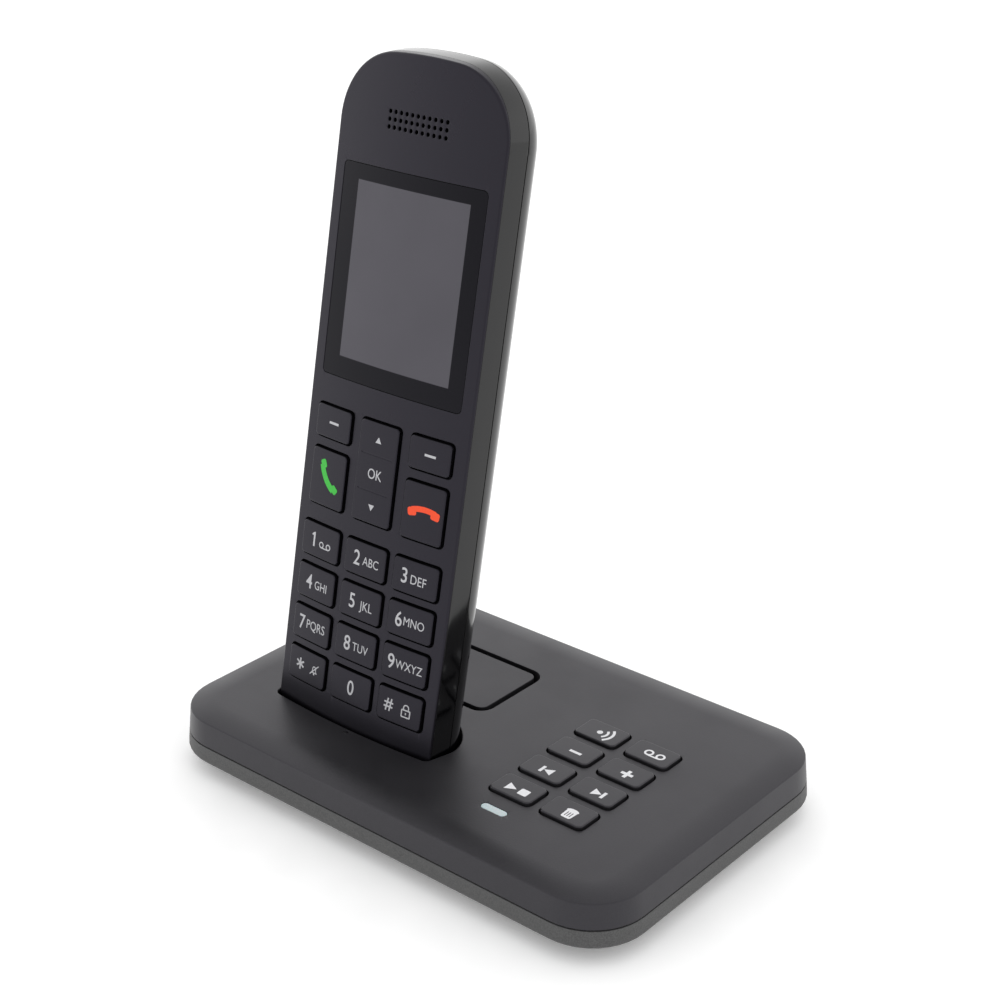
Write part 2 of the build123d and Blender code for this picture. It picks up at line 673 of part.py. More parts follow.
def loudspeaker_basket():
    """Oval loudspeaker frame."""
    at = (HANDSET_X, PANEL_CENTRE_Y)
    width, depth = SPEAKER_SIZE
    basket = slab(width, depth, 9.6, SPEAKER_TOP - 2.2, SPEAKER_TOP, at)
    basket = basket + slab(20, 14, 3, SPEAKER_BOTTOM + 2, SPEAKER_TOP - 2.1, at)
    return basket - slab(width - 3, depth - 3, 8, SPEAKER_TOP - 1.4, 20, at)


def loudspeaker_cone():
    """Loudspeaker diaphragm: a flat rim with a shallow dome."""
    at = (HANDSET_X, PANEL_CENTRE_Y)
    width, depth = SPEAKER_SIZE
    rim = slab(width - 3.4, depth - 3.4, 7.8, SPEAKER_TOP - 1.35, SPEAKER_TOP - 1.0, at)
    return rim + slab(15, 9, 4.4, SPEAKER_TOP - 1.1, SPEAKER_TOP - 0.3, at)


def loudspeaker_magnet():
    """Magnet and yoke under the loudspeaker."""
    return rod(6.2, SPEAKER_BOTTOM - 1.0, SPEAKER_BOTTOM + 1.95, (HANDSET_X, PANEL_CENTRE_Y))


def message_light():
    """Light guide of the new-message light."""
    corner = LIGHT_BAR_SIZE[1] / 2 - 0.06
    return slab(LIGHT_BAR_SIZE[0] - 0.1, LIGHT_BAR_SIZE[1] - 0.1, corner, 11.5, BASE_HEIGHT, LIGHT_BAR)


def charge_light():
    """Light guide of the charging light at the pocket's front edge."""
    return rod(CHARGE_LIGHT_RADIUS - 0.03, 13.85, BASE_HEIGHT, CHARGE_LIGHT)


def charge_contacts():
    """Sprung charging contacts that stand in the pocket's floor."""
    deep = (CONTACT_DEPTH - 1.0, CONTACT_DEPTH + 1.0)
    return into_base([block((x - 1.5, x + 1.5), deep, (-1.9, -0.05)) for x in CONTACT_X])


def rubber_feet():
    """Four round feet set into the underside."""
    feet = [rod(FOOT_RADIUS, 0, UNDERSIDE + FOOT_RECESS, place) for place in FOOT_PLACES]
    return Compound(children=feet)


def base_screws():
    """Four self-tapping screws that hold the base's covers together."""
    screws = []
    for place in SCREW_PLACES:
        head = rod(SCREW_HEAD, 1.25, 2.45, place) - rod(0.9, 1, 1.9, place)
        screws.append(head + rod(SCREW_SHANK, 2.2, 11.0, place))
    return Compound(children=screws)


def base_radio_shield():
    """Metal can over the base's radio circuit."""
    can = slab(22, 18, 0.6, MAIN_BOARD_TOP + 0.05, 8.0, (20, -24))
    return can - slab(21.4, 17.4, 0.4, MAIN_BOARD_TOP, 7.7, (20, -24))


def base_chips():
    """Processor, message memory and supply parts on the main board."""
    low = MAIN_BOARD_TOP + 0.05
    parts = [
        slab(12, 12, 0.5, low, 6.6, (22, 2)),
        slab(9, 7, 0.4, low, 6.4, (42, 6)),
        slab(8, 6, 0.4, low, 6.4, (44, -12)),
        rod(3.2, low, 9.0, (52, 30)),
        rod(2.5, low, 9.5, (52, 20)),
    ]
    return Compound(children=parts)


def base_parts():
    """Every piece of the base, by name."""
    parts = {
        "base_top_cover": base_top_cover(),
        "base_bottom_cover": base_bottom_cover(),
        "speaker_panel": speaker_panel(),
        "loudspeaker_basket": loudspeaker_basket(),
        "loudspeaker_cone": loudspeaker_cone(),
        "loudspeaker_magnet": loudspeaker_magnet(),
        "base_circuit_board": main_board(),
        "base_key_board": key_board(),
        "base_key_mat": base_key_mat(),
        "base_radio_shield": base_radio_shield(),
        "base_chips": base_chips(),
        "message_light": message_light(),
        "charge_light": charge_light(),
        "charge_contacts": charge_contacts(),
        "rubber_feet": rubber_feet(),
        "base_screws": base_screws(),
    }
    for name in SOCKET_CENTRES_X:
        parts[name] = socket(name)
    for name, x, y in base_key_centres():
        parts[name] = base_key(x, y)
    return parts


def handset_parts():
    """Every piece of the handset in its own upright frame, by name."""
    body = handset_body()
    cavity = handset_form(SHELL_WALL)
    parts = {
        "handset_front_shell": front_shell(body),
        "handset_side_frame": side_frame(body),
        "handset_back_shell": back_shell(body, cavity),
        "battery_door": battery_door(body, cavity),
        "display_lens": display_lens(),
        "display_module": display_module(),
        "handset_circuit_board": phone_board(),
        "handset_radio_shield": radio_shield(),
        "handset_key_mat": phone_key_mat(),
        "navigation_pivot": navigation_pivot(),
        "earpiece": earpiece(),
        "microphone": microphone(),
        "ringer": ringer(),
        "battery_cells": battery_cells(),
        "battery_contacts": battery_contacts(),
        "charge_pads": charge_pads(),
        "handset_screws": handset_screws(),
    }
    for name, x, half, limits in key_openings():
        if name == "key_navigation":
            parts[name] = navigation_key()
        else:
            parts[name] = handset_key(x, half, limits)
    return parts


def main():
    os.makedirs("parts", exist_ok=True)
    for name, shape in base_parts().items():
        export_step(shape, f"parts/{name}.step")
    for name, shape in handset_parts().items():
        export_step(into_base(shape), f"parts/{name}.step")


if __name__ == "__main__":
    main()
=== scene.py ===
"""Builds the covers, keys, display and finishes of a cordless telephone in its answering base."""

import math

import bmesh
import bpy
from bpy.props import FloatProperty, FloatVectorProperty, IntProperty, PointerProperty
from mathutils import Matrix, Vector, kdtree
from mathutils.geometry import delaunay_2d_cdt


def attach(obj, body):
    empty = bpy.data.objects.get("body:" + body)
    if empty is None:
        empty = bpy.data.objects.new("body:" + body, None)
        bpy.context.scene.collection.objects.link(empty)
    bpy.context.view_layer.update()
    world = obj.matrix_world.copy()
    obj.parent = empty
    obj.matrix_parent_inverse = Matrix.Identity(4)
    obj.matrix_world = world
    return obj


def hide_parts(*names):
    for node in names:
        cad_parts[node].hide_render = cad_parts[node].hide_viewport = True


bl_info = {
    "name": "Cordless telephone with answering base",
    "version": (1, 0, 0),
    "blender": (4, 5, 0),
    "location": "View3D > Sidebar > Telephone",
    "description": "Builds the covers, keys, display and finishes of a cordless telephone",
    "category": "Object",
}

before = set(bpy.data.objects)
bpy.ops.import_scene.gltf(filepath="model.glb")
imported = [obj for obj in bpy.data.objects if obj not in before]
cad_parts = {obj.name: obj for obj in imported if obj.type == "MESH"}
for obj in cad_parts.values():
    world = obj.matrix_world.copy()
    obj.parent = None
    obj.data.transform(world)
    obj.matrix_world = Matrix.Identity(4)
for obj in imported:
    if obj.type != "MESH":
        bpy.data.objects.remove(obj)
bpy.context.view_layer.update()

# Sizes in millimetres, as in the part's source.
MM = 0.001
BASE_WIDTH, BASE_DEPTH, BASE_CORNER = 131.0, 86.0, 14.2
BASE_TOP = 15.5
CREASE_HEIGHT = 14.6
SEAM_TOP, SEAM_BOTTOM = 8.65, 8.35
RIM_HEIGHT = 4.6
SLOPE_START, SLOPE_END = 1.0, 8.0
TOP_INSIDE = 13.5
KEY_COLUMNS = (23.0, 37.1)
KEY_ROWS = (12.2, 2.15, -7.9, -17.95)
BASE_OPENING = (12.2, 8.2, 1.7)
KEY_GAP = 0.46
KEY_PROUD = 0.7
FLANGE = 0.68
PANEL = (37.5, 20.5, 2.25)
PANEL_SLOT = 1.55
PANEL_AT = (-24.1, 13.3)
SCREW_PLACES = ((-44.0, -33.0), (-44.0, 32.0), (40.0, -33.0), (40.0, 32.0))
FOOT_PLACES = ((-52.0, -30.0), (52.0, -30.0), (52.0, 30.0), (-52.0, 30.0))
BOARD_PINS = ((15.3, 17.8), (44.9, 17.8), (15.3, -24.0), (44.9, -24.0))
LIGHT_BAR_AT = (23.7, -27.0)
LIGHT_BAR = (6.9, 2.2)
CHARGE_LIGHT_AT = (-22.6, -24.75)
SLOPE_STEPS = 14
# The room that the pocket leaves round the handset, and how far out its wall reaches.
POCKET_ROOM, POCKET_WALL = 0.7, 2.0
# How strongly the pocket follows the curve of the handset's face and the draft of its side.
POCKET_CROWN, POCKET_DRAFT = 0.75, 1.55
# Upper and lower face of the pocket's floor along the handset, of the panel's floor and of the bottom.
POCKET_FLOOR = (-0.3, -1.2)
PANEL_FLOOR = (12.3, 11.3)
BOTTOM_LEVELS = (1.2, 2.6)
BOARD_POSTS = ((7.0, -32.0), (57.0, -32.0), (57.0, 30.0), (7.0, 24.0))
# Openings in the back wall for the two sockets, as limits along x, y and z.
SOCKET_ROOMS = [((x - 5.2, x + 5.2), (36.0, 50.0), (5.7, 12.9)) for x in (10.0, 25.5)]

HALF, LENGTH, THICKNESS = 24.8, 160.15, 20.9
CROWN_RADIUS = 178.6
SIDE_DEPTH = 7.3
ARCH_RADIUS = 104.006
TOP_CORNER, FOOT_CORNER = 17.0, 7.0
EDGE_RADIUS = 0.6
# The side draws in towards the face: its slope at the back edge and how fast the slope grows.
DRAFT_SLOPE, DRAFT_BEND = 0.1317, 0.0062
FRONT_EDGE = 2.1
FRAME_DEPTHS = (2.14, 7.2)
BACK_EDGE = 7.4
WALL = 1.5
# Width, height and corner of the window, its middle, and the roundings of the edges of openings.
WINDOW = (41.4, 47.8, 1.2)
WINDOW_AT = (0.0, 110.1)
WINDOW_EDGE, EAR_HOLE_EDGE, BACK_HOLE_EDGE = 0.12, 0.2, 0.15
# Outline of the window's view and of the seat behind it: width, height and corner.
WINDOW_VIEW, WINDOW_SEAT = (37.8, 45.0, 0.8), (43.6, 50.0, 1.5)
# Radius of the ear holes, their distance across and up, and the height of their middle row.
EAR_HOLE, EAR_PITCH, EAR_MIDDLE = 0.45, (1.62, 1.66), 144.6
# Limits of the display's picture across and up the handset.
DISPLAY = (-15.6, 16.6, 91.1, 130.5)
DOOR = (34.0, 66.0, 0.8)
DOOR_AT = (0.0, 57.0)
DOOR_GAP = 0.15
# Radii of the back's upper and lower end.
BACK_ENDS = (13.0, 5.0)
POSTS = ((-17.0, 9.0), (17.0, 9.0), (-17.0, 139.0), (17.0, 139.0))
TRAY = (11.4, 29.0, 82.0)

LEAN = math.radians(11.4)
UPWARD = Vector((0.0, math.sin(LEAN), math.cos(LEAN)))
INWARD = Vector((0.0, math.cos(LEAN), -math.sin(LEAN)))
FOOT_POINT = Vector((-24.1, -22.8, BASE_TOP)) - 7.1 * UPWARD

SHARP_ANGLE = math.radians(34)
# Angles in degrees at which rounded edges have a row of points.
QUARTER, FINE_QUARTER, KEY_QUARTER = (0, 30, 60, 90), (0, 22, 45, 67, 90), (0, 18, 36, 54, 72, 90)
# How far marks stand out of a cap and reach into it, and how much higher each further stroke stands.
INK_LIFT, INK_ROOT, INK_LAYER = 0.025, 0.04, 0.004


def in_base(point):
    """Place in the base's frame of a point given across, into and up the handset."""
    across, depth, height = point
    return FOOT_POINT + Vector((across, 0.0, 0.0)) + depth * INWARD + height * UPWARD


# ---- mesh under construction ----

class Skin:
    """Closed mesh under construction, in millimetres, with a material number for each face."""

    def __init__(self):
        self.points = []
        self.faces = []
        self.slots = []
        self.slot = 0

    def face(self, *numbers):
        """Adds a face between numbered points."""
        self.faces.append(numbers)
        self.slots.append(self.slot)

    def ring(self, points):
        """Adds points and returns their numbers."""
        first = len(self.points)
        self.points.extend(Vector(point) for point in points)
        return list(range(first, len(self.points)))

    def bridge(self, one, other, closed=True):
        """Faces between two rows of the same count."""
        for i in range(len(one) - (0 if closed else 1)):
            j = (i + 1) % len(one)
            self.face(one[i], one[j], other[j], other[i])

    def rows(self, rows, closed=True):
        """Adds rows of points, joins each to the one before, and returns the first and the last."""
        numbers = [self.ring(row) for row in rows]
        for one, other in zip(numbers, numbers[1:]):
            self.bridge(one, other, closed)
        return numbers[0], numbers[-1]

    def tube(self, rows, mouths, ends=None):
        """Rows of a hole or boss. Its last row is added to ends, or closed where none are given."""
        first, last = self.rows(rows)
        mouths.append(first)
        if ends is None:
            self.face(*last)
        else:
            ends.append(last)

    def post(self, profile, at, place=lambda x, y, z: (x, y, z)):
        """Round solid: profile lists radius and height from one end to the other."""
        for end in self.rows([[place(*point) for point in row] for row in lathe(profile, at)]):
            self.face(*end)

    def field(self, outline, holes, flatten, place, spacing):
        """Fills an outline with even triangles round its holes.

        flatten gives the flat place of a point, and place turns a flat place into a point.
        """
        flat, numbers, loops = [], [], []
        for ring in (outline, *holes):
            loop = list(range(len(flat), len(flat) + len(ring)))
            spots = [Vector(flatten(self.points[i])) for i in ring]
            turning = sum(a.cross(b) for a, b in zip(spots, spots[1:] + spots[:1]))
            flat.extend(spots)
            numbers.extend(ring)
            loops.append(loop if turning > 0 else loop[::-1])
        inside = honeycomb(flat, loops, spacing)
        spots, _, triangles, origins, _, owners = delaunay_2d_cdt(flat + inside, [], loops, 0, 1e-6)
        made = {}
        for triangle, owner in zip(triangles, owners):
            if owner != [0]:
                continue
            corners = []
            for spot in triangle:
                known = [i for i in origins[spot] if i < len(numbers)]
                if known:
                    corners.append(numbers[known[0]])
                    continue
                if spot not in made:
                    made[spot] = self.ring([place(*spots[spot])])[0]
                corners.append(made[spot])
            self.face(*corners)


def honeycomb(flat, loops, spacing):
    """Staggered grid of points that keeps clear of the loops' edges."""
    edges = []
    for loop in loops:
        for i, j in zip(loop, loop[1:] + loop[:1]):
            pieces = max(1, math.ceil((flat[j] - flat[i]).length / (spacing * 0.7)))
            edges.extend(flat[i].lerp(flat[j], step / pieces) for step in range(pieces))
    tree = kdtree.KDTree(len(edges))
    for number, spot in enumerate(edges):
        tree.insert(spot.to_3d(), number)
    tree.balance()
    outline = [flat[i] for i in loops[0]]
    left, right = min(p.x for p in outline), max(p.x for p in outline)
    low, high = min(p.y for p in outline), max(p.y for p in outline)
    points = []
    row = 0
    while low + (row + 0.5) * spacing * 0.866 < high:
        y = low + (row + 0.5) * spacing * 0.866
        x = left + spacing * (0.5 if row % 2 else 1.0)
        while x < right:
            if tree.find(Vector((x, y, 0)))[2] > spacing * 0.55:
                points.append(Vector((x, y)))
            x += spacing
        row += 1
    return points


def lathe(profile, at=(0.0, 0.0), count=24):
    """Round rows: profile lists radius and height."""
    return [[(x, y, height) for x, y in circle(radius, at, count)] for radius, height in profile]


def circle(radius, at=(0.0, 0.0), count=24):
    """Points of a circle, counterclockwise."""
    turns = [math.tau * step / count for step in range(count)]
    return [(at[0] + radius * math.cos(turn), at[1] + radius * math.sin(turn)) for turn in turns]


def rounded(width, height, corner, at=(0.0, 0.0), runs=(1, 1), turns=5):
    """Points of a rounded rectangle, counterclockwise. runs divides its straight sides."""
    arcs = []
    for number, (side_x, side_y) in enumerate(((1, -1), (1, 1), (-1, 1), (-1, -1))):
        x = at[0] + side_x * (width / 2 - corner)
        y = at[1] + side_y * (height / 2 - corner)
        angles = [math.radians(90 * (number - 1 + step / turns)) for step in range(turns + 1)]
        arcs.append([(x + corner * math.cos(a), y + corner * math.sin(a)) for a in angles])
    points = []
    for number, arc in enumerate(arcs):
        points.extend(arc)
        one, other = Vector(arc[-1]), Vector(arcs[(number + 1) % 4][0])
        pieces = runs[1] if number % 2 == 0 else runs[0]
        points.extend(tuple(one.lerp(other, step / pieces)) for step in range(1, pieces))
    return points


def grown(width, height, corner, at=(0.0, 0.0), runs=(1, 1), turns=5):
    """Gives the outline of a rounded rectangle that has grown on all sides."""
    return lambda grow: rounded(width + 2 * grow, height + 2 * grow, corner + grow, at, runs, turns)


def quarter(radius, angles=QUARTER):
    """How far out and how deep a rounded edge lies at each angle, from the surface to the wall."""
    turns = [math.radians(angle) for angle in angles]
    return [(radius * (1 - math.sin(turn)), radius * (1 - math.cos(turn))) for turn in turns]


def eased(corners, turns=4):
    """Line through corners, each given as two places and the radius that rounds it."""
    line = [corners[0][:2]]
    for before, corner, after in zip(corners, corners[1:], corners[2:]):
        middle = Vector(corner[:2])
        arrive = (Vector(before[:2]) - middle).normalized()
        leave = (Vector(after[:2]) - middle).normalized()
        opening = arrive.angle(leave)
        if corner[2] == 0 or opening > math.radians(179):
            line.append(tuple(middle))
            continue
        reach = corner[2] / math.tan(opening / 2)
        start, end = middle + arrive * reach, middle + leave * reach
        hub = middle + (arrive + leave).normalized() * (corner[2] / math.sin(opening / 2))
        for step in range(turns + 1):
            spoke = (start - hub).normalized().slerp((end - hub).normalized(), step / turns)
            line.append(tuple(hub + spoke * corner[2]))
    line.append(corners[-1][:2])
    return line


def collect(name, skin, finishes, even=True):
    """Makes a mesh object of a skin. even is left out where its modifier would be in the way."""
    mesh = bpy.data.meshes.new(name)
    mesh.from_pydata([point * MM for point in skin.points], [], skin.faces)
    mesh.polygons.foreach_set("material_index", skin.slots)
    work = bmesh.new()
    work.from_mesh(mesh)
    bmesh.ops.remove_doubles(work, verts=work.verts, dist=2e-7)
    bmesh.ops.dissolve_degenerate(work, edges=work.edges, dist=1e-7)
    loose = [vert for vert in work.verts if not vert.link_faces]
    bmesh.ops.delete(work, geom=loose, context="VERTS")
    bmesh.ops.recalc_face_normals(work, faces=work.faces)
    for face in work.faces:
        face.smooth = True
    work.to_mesh(mesh)
    work.free()
    for finish in finishes:
        mesh.materials.append(FINISHES[finish])
    obj = bpy.data.objects.new(name, mesh)
    bpy.context.scene.collection.objects.link(obj)
    shade(obj, even)
    return obj


def shade(obj, even=True):
    """Keeps true corners sharp and, where even, flats flat."""
    obj.data.set_sharp_from_angle(angle=SHARP_ANGLE)
    if even:
        obj.modifiers.new("Even shading", "WEIGHTED_NORMAL").keep_sharp = True


def fit(obj, body, node):
    """Gives a piece its body, and hides the node that it stands for."""
    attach(obj, body)
    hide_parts(node)


def leaned(skin):
    """Stands a skin that was drawn in the handset's frame in the base."""
    skin.points = [in_base(point) for point in skin.points]
    return skin


def evaluated(obj):
    """Replaces an object's mesh by what its modifiers make of it."""
    graph = bpy.context.evaluated_depsgraph_get()
    result = bpy.data.meshes.new_from_object(obj.evaluated_get(graph))
    obj.modifiers.clear()
    old, obj.data = obj.data, result
    bpy.data.meshes.remove(old)
    result.name = obj.name


def cut_away(obj, cutter):
    """Cuts one closed mesh out of another and drops the cutter."""
    obj.modifiers.clear()
    difference = obj.modifiers.new("Cut", "BOOLEAN")
    difference.operation = "DIFFERENCE"
    difference.solver = "EXACT"
    difference.object = cutter
    evaluated(obj)
    bpy.data.objects.remove(cutter)
    shade(obj)


def boxes(limits, tilted=False):
    """Temporary cutter of plain boxes, each given as limits along x, y and z."""
    skin = Skin()
    for (x0, x1), (y0, y1), (z0, z1) in limits:
        low, high = skin.rows([[(x0, y0, z), (x1, y0, z), (x1, y1, z), (x0, y1, z)] for z in (z0, z1)])
        skin.face(*low)
        skin.face(*high)
    return collect("cutter", leaned(skin) if tilted else skin, [], even=False)


# ---- rows of like pieces ----

def copies_tree():
    """Geometry nodes that repeat one piece over a grid."""
    tree = bpy.data.node_groups.new("Grid of copies", "GeometryNodeTree")
    sockets = {}
    tree.interface.new_socket("Geometry", in_out="INPUT", socket_type="NodeSocketGeometry")
    tree.interface.new_socket("Geometry", in_out="OUTPUT", socket_type="NodeSocketGeometry")
    for name, kind in (("Columns", "Int"), ("Rows", "Int"), ("Width", "Float"), ("Length", "Float"),
                       ("Finish", "Material")):
        sockets[name] = tree.interface.new_socket(name, in_out="INPUT", socket_type="NodeSocket" + kind)
    start, grid, spread, real, paint, end = (tree.nodes.new(kind) for kind in (
        "NodeGroupInput", "GeometryNodeMeshGrid", "GeometryNodeInstanceOnPoints",
        "GeometryNodeRealizeInstances", "GeometryNodeSetMaterial", "NodeGroupOutput"))
    for source, output, target, socket in (
            (start, "Width", grid, "Size X"), (start, "Length", grid, "Size Y"),
            (start, "Columns", grid, "Vertices X"), (start, "Rows", grid, "Vertices Y"),
            (grid, "Mesh", spread, "Points"), (start, "Geometry", spread, "Instance"),
            (spread, "Instances", real, "Geometry"), (real, "Geometry", paint, "Geometry"),
            (start, "Finish", paint, "Material"), (paint, "Geometry", end, "Geometry")):
        tree.links.new(source.outputs[output], target.inputs[socket])
    return tree, sockets


def repeat(name, skin, finish, counts, pitch, middle, tilted=False):
    """Repeats a piece over a grid about middle. tilted pieces lie in the handset's front view."""
    obj = collect(name, skin, [finish], even=False)
    tree, sockets = copies_tree()
    nodes = obj.modifiers.new("Copies", "NODES")
    nodes.node_group = tree
    width, length = (step * (count - 1) * MM for step, count in zip(pitch, counts))
    values = {"Columns": counts[0], "Rows": counts[1], "Width": width, "Length": length,
              "Finish": FINISHES[finish]}
    for label, value in values.items():
        nodes[sockets[label].identifier] = value
    evaluated(obj)
    bpy.data.node_groups.remove(tree)
    place = Matrix.Translation(Vector(middle) * MM)
    if tilted:
        # The grid's x and y lie across and up the handset, and its z points out of the face.
        out = -INWARD
        turn = Matrix(((1, 0, 0), (0, UPWARD.y, out.y), (0, UPWARD.z, out.z))).to_4x4()
        place = Matrix.Translation(in_base((middle[0], middle[2], middle[1])) * MM) @ turn
    obj.data.transform(place)
    shade(obj)
    return obj


# ---- finishes ----

class Finish:
    """Material made of nodes that read Object coordinates."""

    def __init__(self, name, **constants):
        self.material = bpy.data.materials.new(name)
        self.material.use_nodes = True
        self.tree = self.material.node_tree
        self.tree.nodes.clear()
        self.shader = self.tree.nodes.new("ShaderNodeBsdfPrincipled")
        output = self.tree.nodes.new("ShaderNodeOutputMaterial")
        self.tree.links.new(self.shader.outputs["BSDF"], output.inputs["Surface"])
        self.spot = self.tree.nodes.new("ShaderNodeTexCoord").outputs["Object"]
        for label, value in constants.items():
            self.shader.inputs[label.replace("_", " ")].default_value = value

    def feed(self, **sources):
        """Links outputs of nodes to inputs of the shader."""
        for label, source in sources.items():
            self.tree.links.new(source, self.shader.inputs[label.replace("_", " ")])

    def node(self, kind, sockets=None, **settings):
        """Adds a node. sockets gives its inputs, as values or as outputs of other nodes."""
        made = self.tree.nodes.new(kind)
        for label, value in settings.items():
            setattr(made, label, value)
        for label, value in (sockets or {}).items():
            if isinstance(value, bpy.types.NodeSocket):
                self.tree.links.new(value, made.inputs[label])
            else:
                made.inputs[label].default_value = value
        return made

    def noise(self, scale, detail=3.0):
        """Cloudy value about 0.5."""
        made = self.node("ShaderNodeTexNoise", {"Vector": self.spot, "Scale": scale,
                                                "Detail": detail, "Roughness": 0.55})
        return made.outputs["Fac"]

    def span(self, value, low, high, start=0.3, end=0.7):
        """Maps a value from start to end onto low to high."""
        made = self.node("ShaderNodeMapRange", {"Value": value, "From Min": start, "From Max": end,
                                                "To Min": low, "To Max": high})
        return made.outputs["Result"]

    def blend(self, factor, one, other):
        """Colour between two, given as colours or as outputs of other nodes."""
        ends = [end if isinstance(end, bpy.types.NodeSocket) else (*end[:3], 1.0) for end in (one, other)]
        made = self.node("ShaderNodeMix", {0: factor, 6: ends[0], 7: ends[1]}, data_type="RGBA")
        return made.outputs[2]

    def bump(self, height, distance):
        """Normal of a surface that height raises by up to distance, in metres."""
        return self.node("ShaderNodeBump", {"Height": height, "Distance": distance}).outputs["Normal"]


def shaded(colour, factor):
    """Colour made darker or lighter."""
    return tuple(channel * factor for channel in colour[:3])


def moulded(name, colour, low, high, grain=0.000012, grain_scale=2600.0, mottle=0.12, shade_below=0.0,
            **constants):
    """Moulded plastic: even colour with fine grain, and a roughness that wanders a little.

    Below the height that sets the painted shade, in metres, it turns dark and dull: painted shade standing in
    for the shadow under the base's rim.
    """
    made = Finish(name, **constants)
    fine = made.noise(grain_scale, 2.0)
    broad = made.noise(55.0, 4.0)
    speck = made.span(fine, 0.0, 1.0, 0.35, 0.65)
    toned = made.blend(speck, shaded(colour, 1 - mottle), shaded(colour, 1 + mottle))
    tone = made.blend(made.span(broad, 0.0, 0.25), toned, shaded(colour, 1.25))
    # Painted shade: below the given height the colour darkens and the reflection fades, for the shadow under
    # the base's rim.
    if shade_below:
        height = made.node("ShaderNodeSeparateXYZ", {"Vector": made.spot}).outputs["Z"]
        shadow = made.span(height, 1.0, 0.0, shade_below - 0.0004, shade_below)
        tone = made.blend(shadow, tone, shaded(colour, 0.06))
        made.feed(Specular_IOR_Level=made.span(shadow, 0.5, 0.05, 0.0, 1.0))
    made.feed(Base_Color=tone, Roughness=made.span(broad, low, high), Normal=made.bump(fine, grain))
    return made


def metal(name, colour, low, high):
    """Plated or bare metal with fine scratches."""
    made = Finish(name, Metallic=1.0)
    along = made.node("ShaderNodeMapping", {"Vector": made.spot, "Scale": (1.0, 0.06, 1.0)})
    lines = made.node("ShaderNodeTexNoise", {"Vector": along.outputs["Vector"], "Scale": 5200.0,
                                             "Detail": 2.0}).outputs["Fac"]
    stain = made.noise(260.0, 4.0)
    made.feed(Base_Color=made.blend(made.span(stain, 0.0, 1.0), shaded(colour, 0.8), colour),
              Roughness=made.span(stain, low, high), Normal=made.bump(lines, 0.000004))
    return made


def product(made, one, other):
    """One value times another."""
    return made.node("ShaderNodeMath", {0: one, 1: other}, operation="MULTIPLY").outputs[0]


def handset_spot(made):
    """Separate coordinates across, into and up the handset, in metres."""
    turned = made.node("ShaderNodeMapping", {"Vector": made.spot, "Location": FOOT_POINT * MM,
                                             "Rotation": (-LEAN, 0.0, 0.0)}, vector_type="TEXTURE")
    return made.node("ShaderNodeSeparateXYZ", {"Vector": turned.outputs["Vector"]}).outputs


def within(made, value, low, high, soft=0.00006):
    """1 between low and high, 0 outside, with a narrow soft edge."""
    rise = made.span(value, 0.0, 1.0, low - soft, low + soft)
    return product(made, rise, made.span(value, 1.0, 0.0, high - soft, high + soft))


def display_glass(look):
    """Black window whose middle shows the grey of the display when it is off."""
    made = Finish("display_glass", Specular_IOR_Level=look.glass_sheen, Specular_Tint=(0.86, 0.83, 1.0, 1.0))
    across, _, up = handset_spot(made)
    left, right, low, high = (edge * MM for edge in DISPLAY)
    lit = product(made, within(made, across, left, right), within(made, up, low, high))
    cloud = made.span(made.noise(38.0, 2.0), 0.0, 1.0)
    panel = made.blend(cloud, shaded(look.display_colour, 0.93), shaded(look.display_colour, 1.05))
    mask = made.blend(cloud, shaded(look.glass_colour, 0.8), look.glass_colour)
    made.feed(Base_Color=made.blend(lit, mask, panel), Roughness=made.span(made.noise(900.0), 0.10, 0.16))
    return made


def circuit_board_finish():
    """Green lacquered board with copper tracks and tinned pads."""
    made = Finish("circuit_board", Coat_Weight=0.35, Coat_Roughness=0.2)
    tracks = made.node("ShaderNodeTexBrick", {"Vector": made.spot, "Scale": 260.0, "Mortar Size": 0.022,
                                              "Color1": (0, 0, 0, 1), "Color2": (0, 0, 0, 1),
                                              "Mortar": (1, 1, 1, 1)})
    pads = made.node("ShaderNodeTexVoronoi", {"Vector": made.spot, "Scale": 420.0})
    weave = made.noise(1500.0, 2.0)
    lacquer = made.blend(made.span(weave, 0.0, 1.0), (0.004, 0.045, 0.016), (0.008, 0.075, 0.028))
    tracked = made.blend(tracks.outputs["Color"], lacquer, (0.03, 0.16, 0.06))
    tinned = made.span(pads.outputs["Distance"], 1.0, 0.0, 0.13, 0.15)
    made.feed(Base_Color=made.blend(tinned, tracked, (0.55, 0.53, 0.47)),
              Roughness=made.span(weave, 0.32, 0.5), Normal=made.bump(tinned, 0.00003))
    return made


def wrapped_cell_finish():
    """Printed sleeve of a battery cell, with a plain band at one end."""
    made = Finish("cell_wrap", Coat_Weight=0.6, Coat_Roughness=0.12)
    _, _, up = handset_spot(made)
    band = made.span(up, 0.0, 1.0, 0.0675, 0.0677)
    crinkle = made.noise(700.0)
    sleeve = made.blend(made.span(crinkle, 0.0, 1.0), (0.02, 0.10, 0.06), (0.03, 0.15, 0.09))
    made.feed(Base_Color=made.blend(band, sleeve, (0.62, 0.62, 0.60)),
              Roughness=made.span(crinkle, 0.24, 0.38), Normal=made.bump(crinkle, 0.00001))
    return made


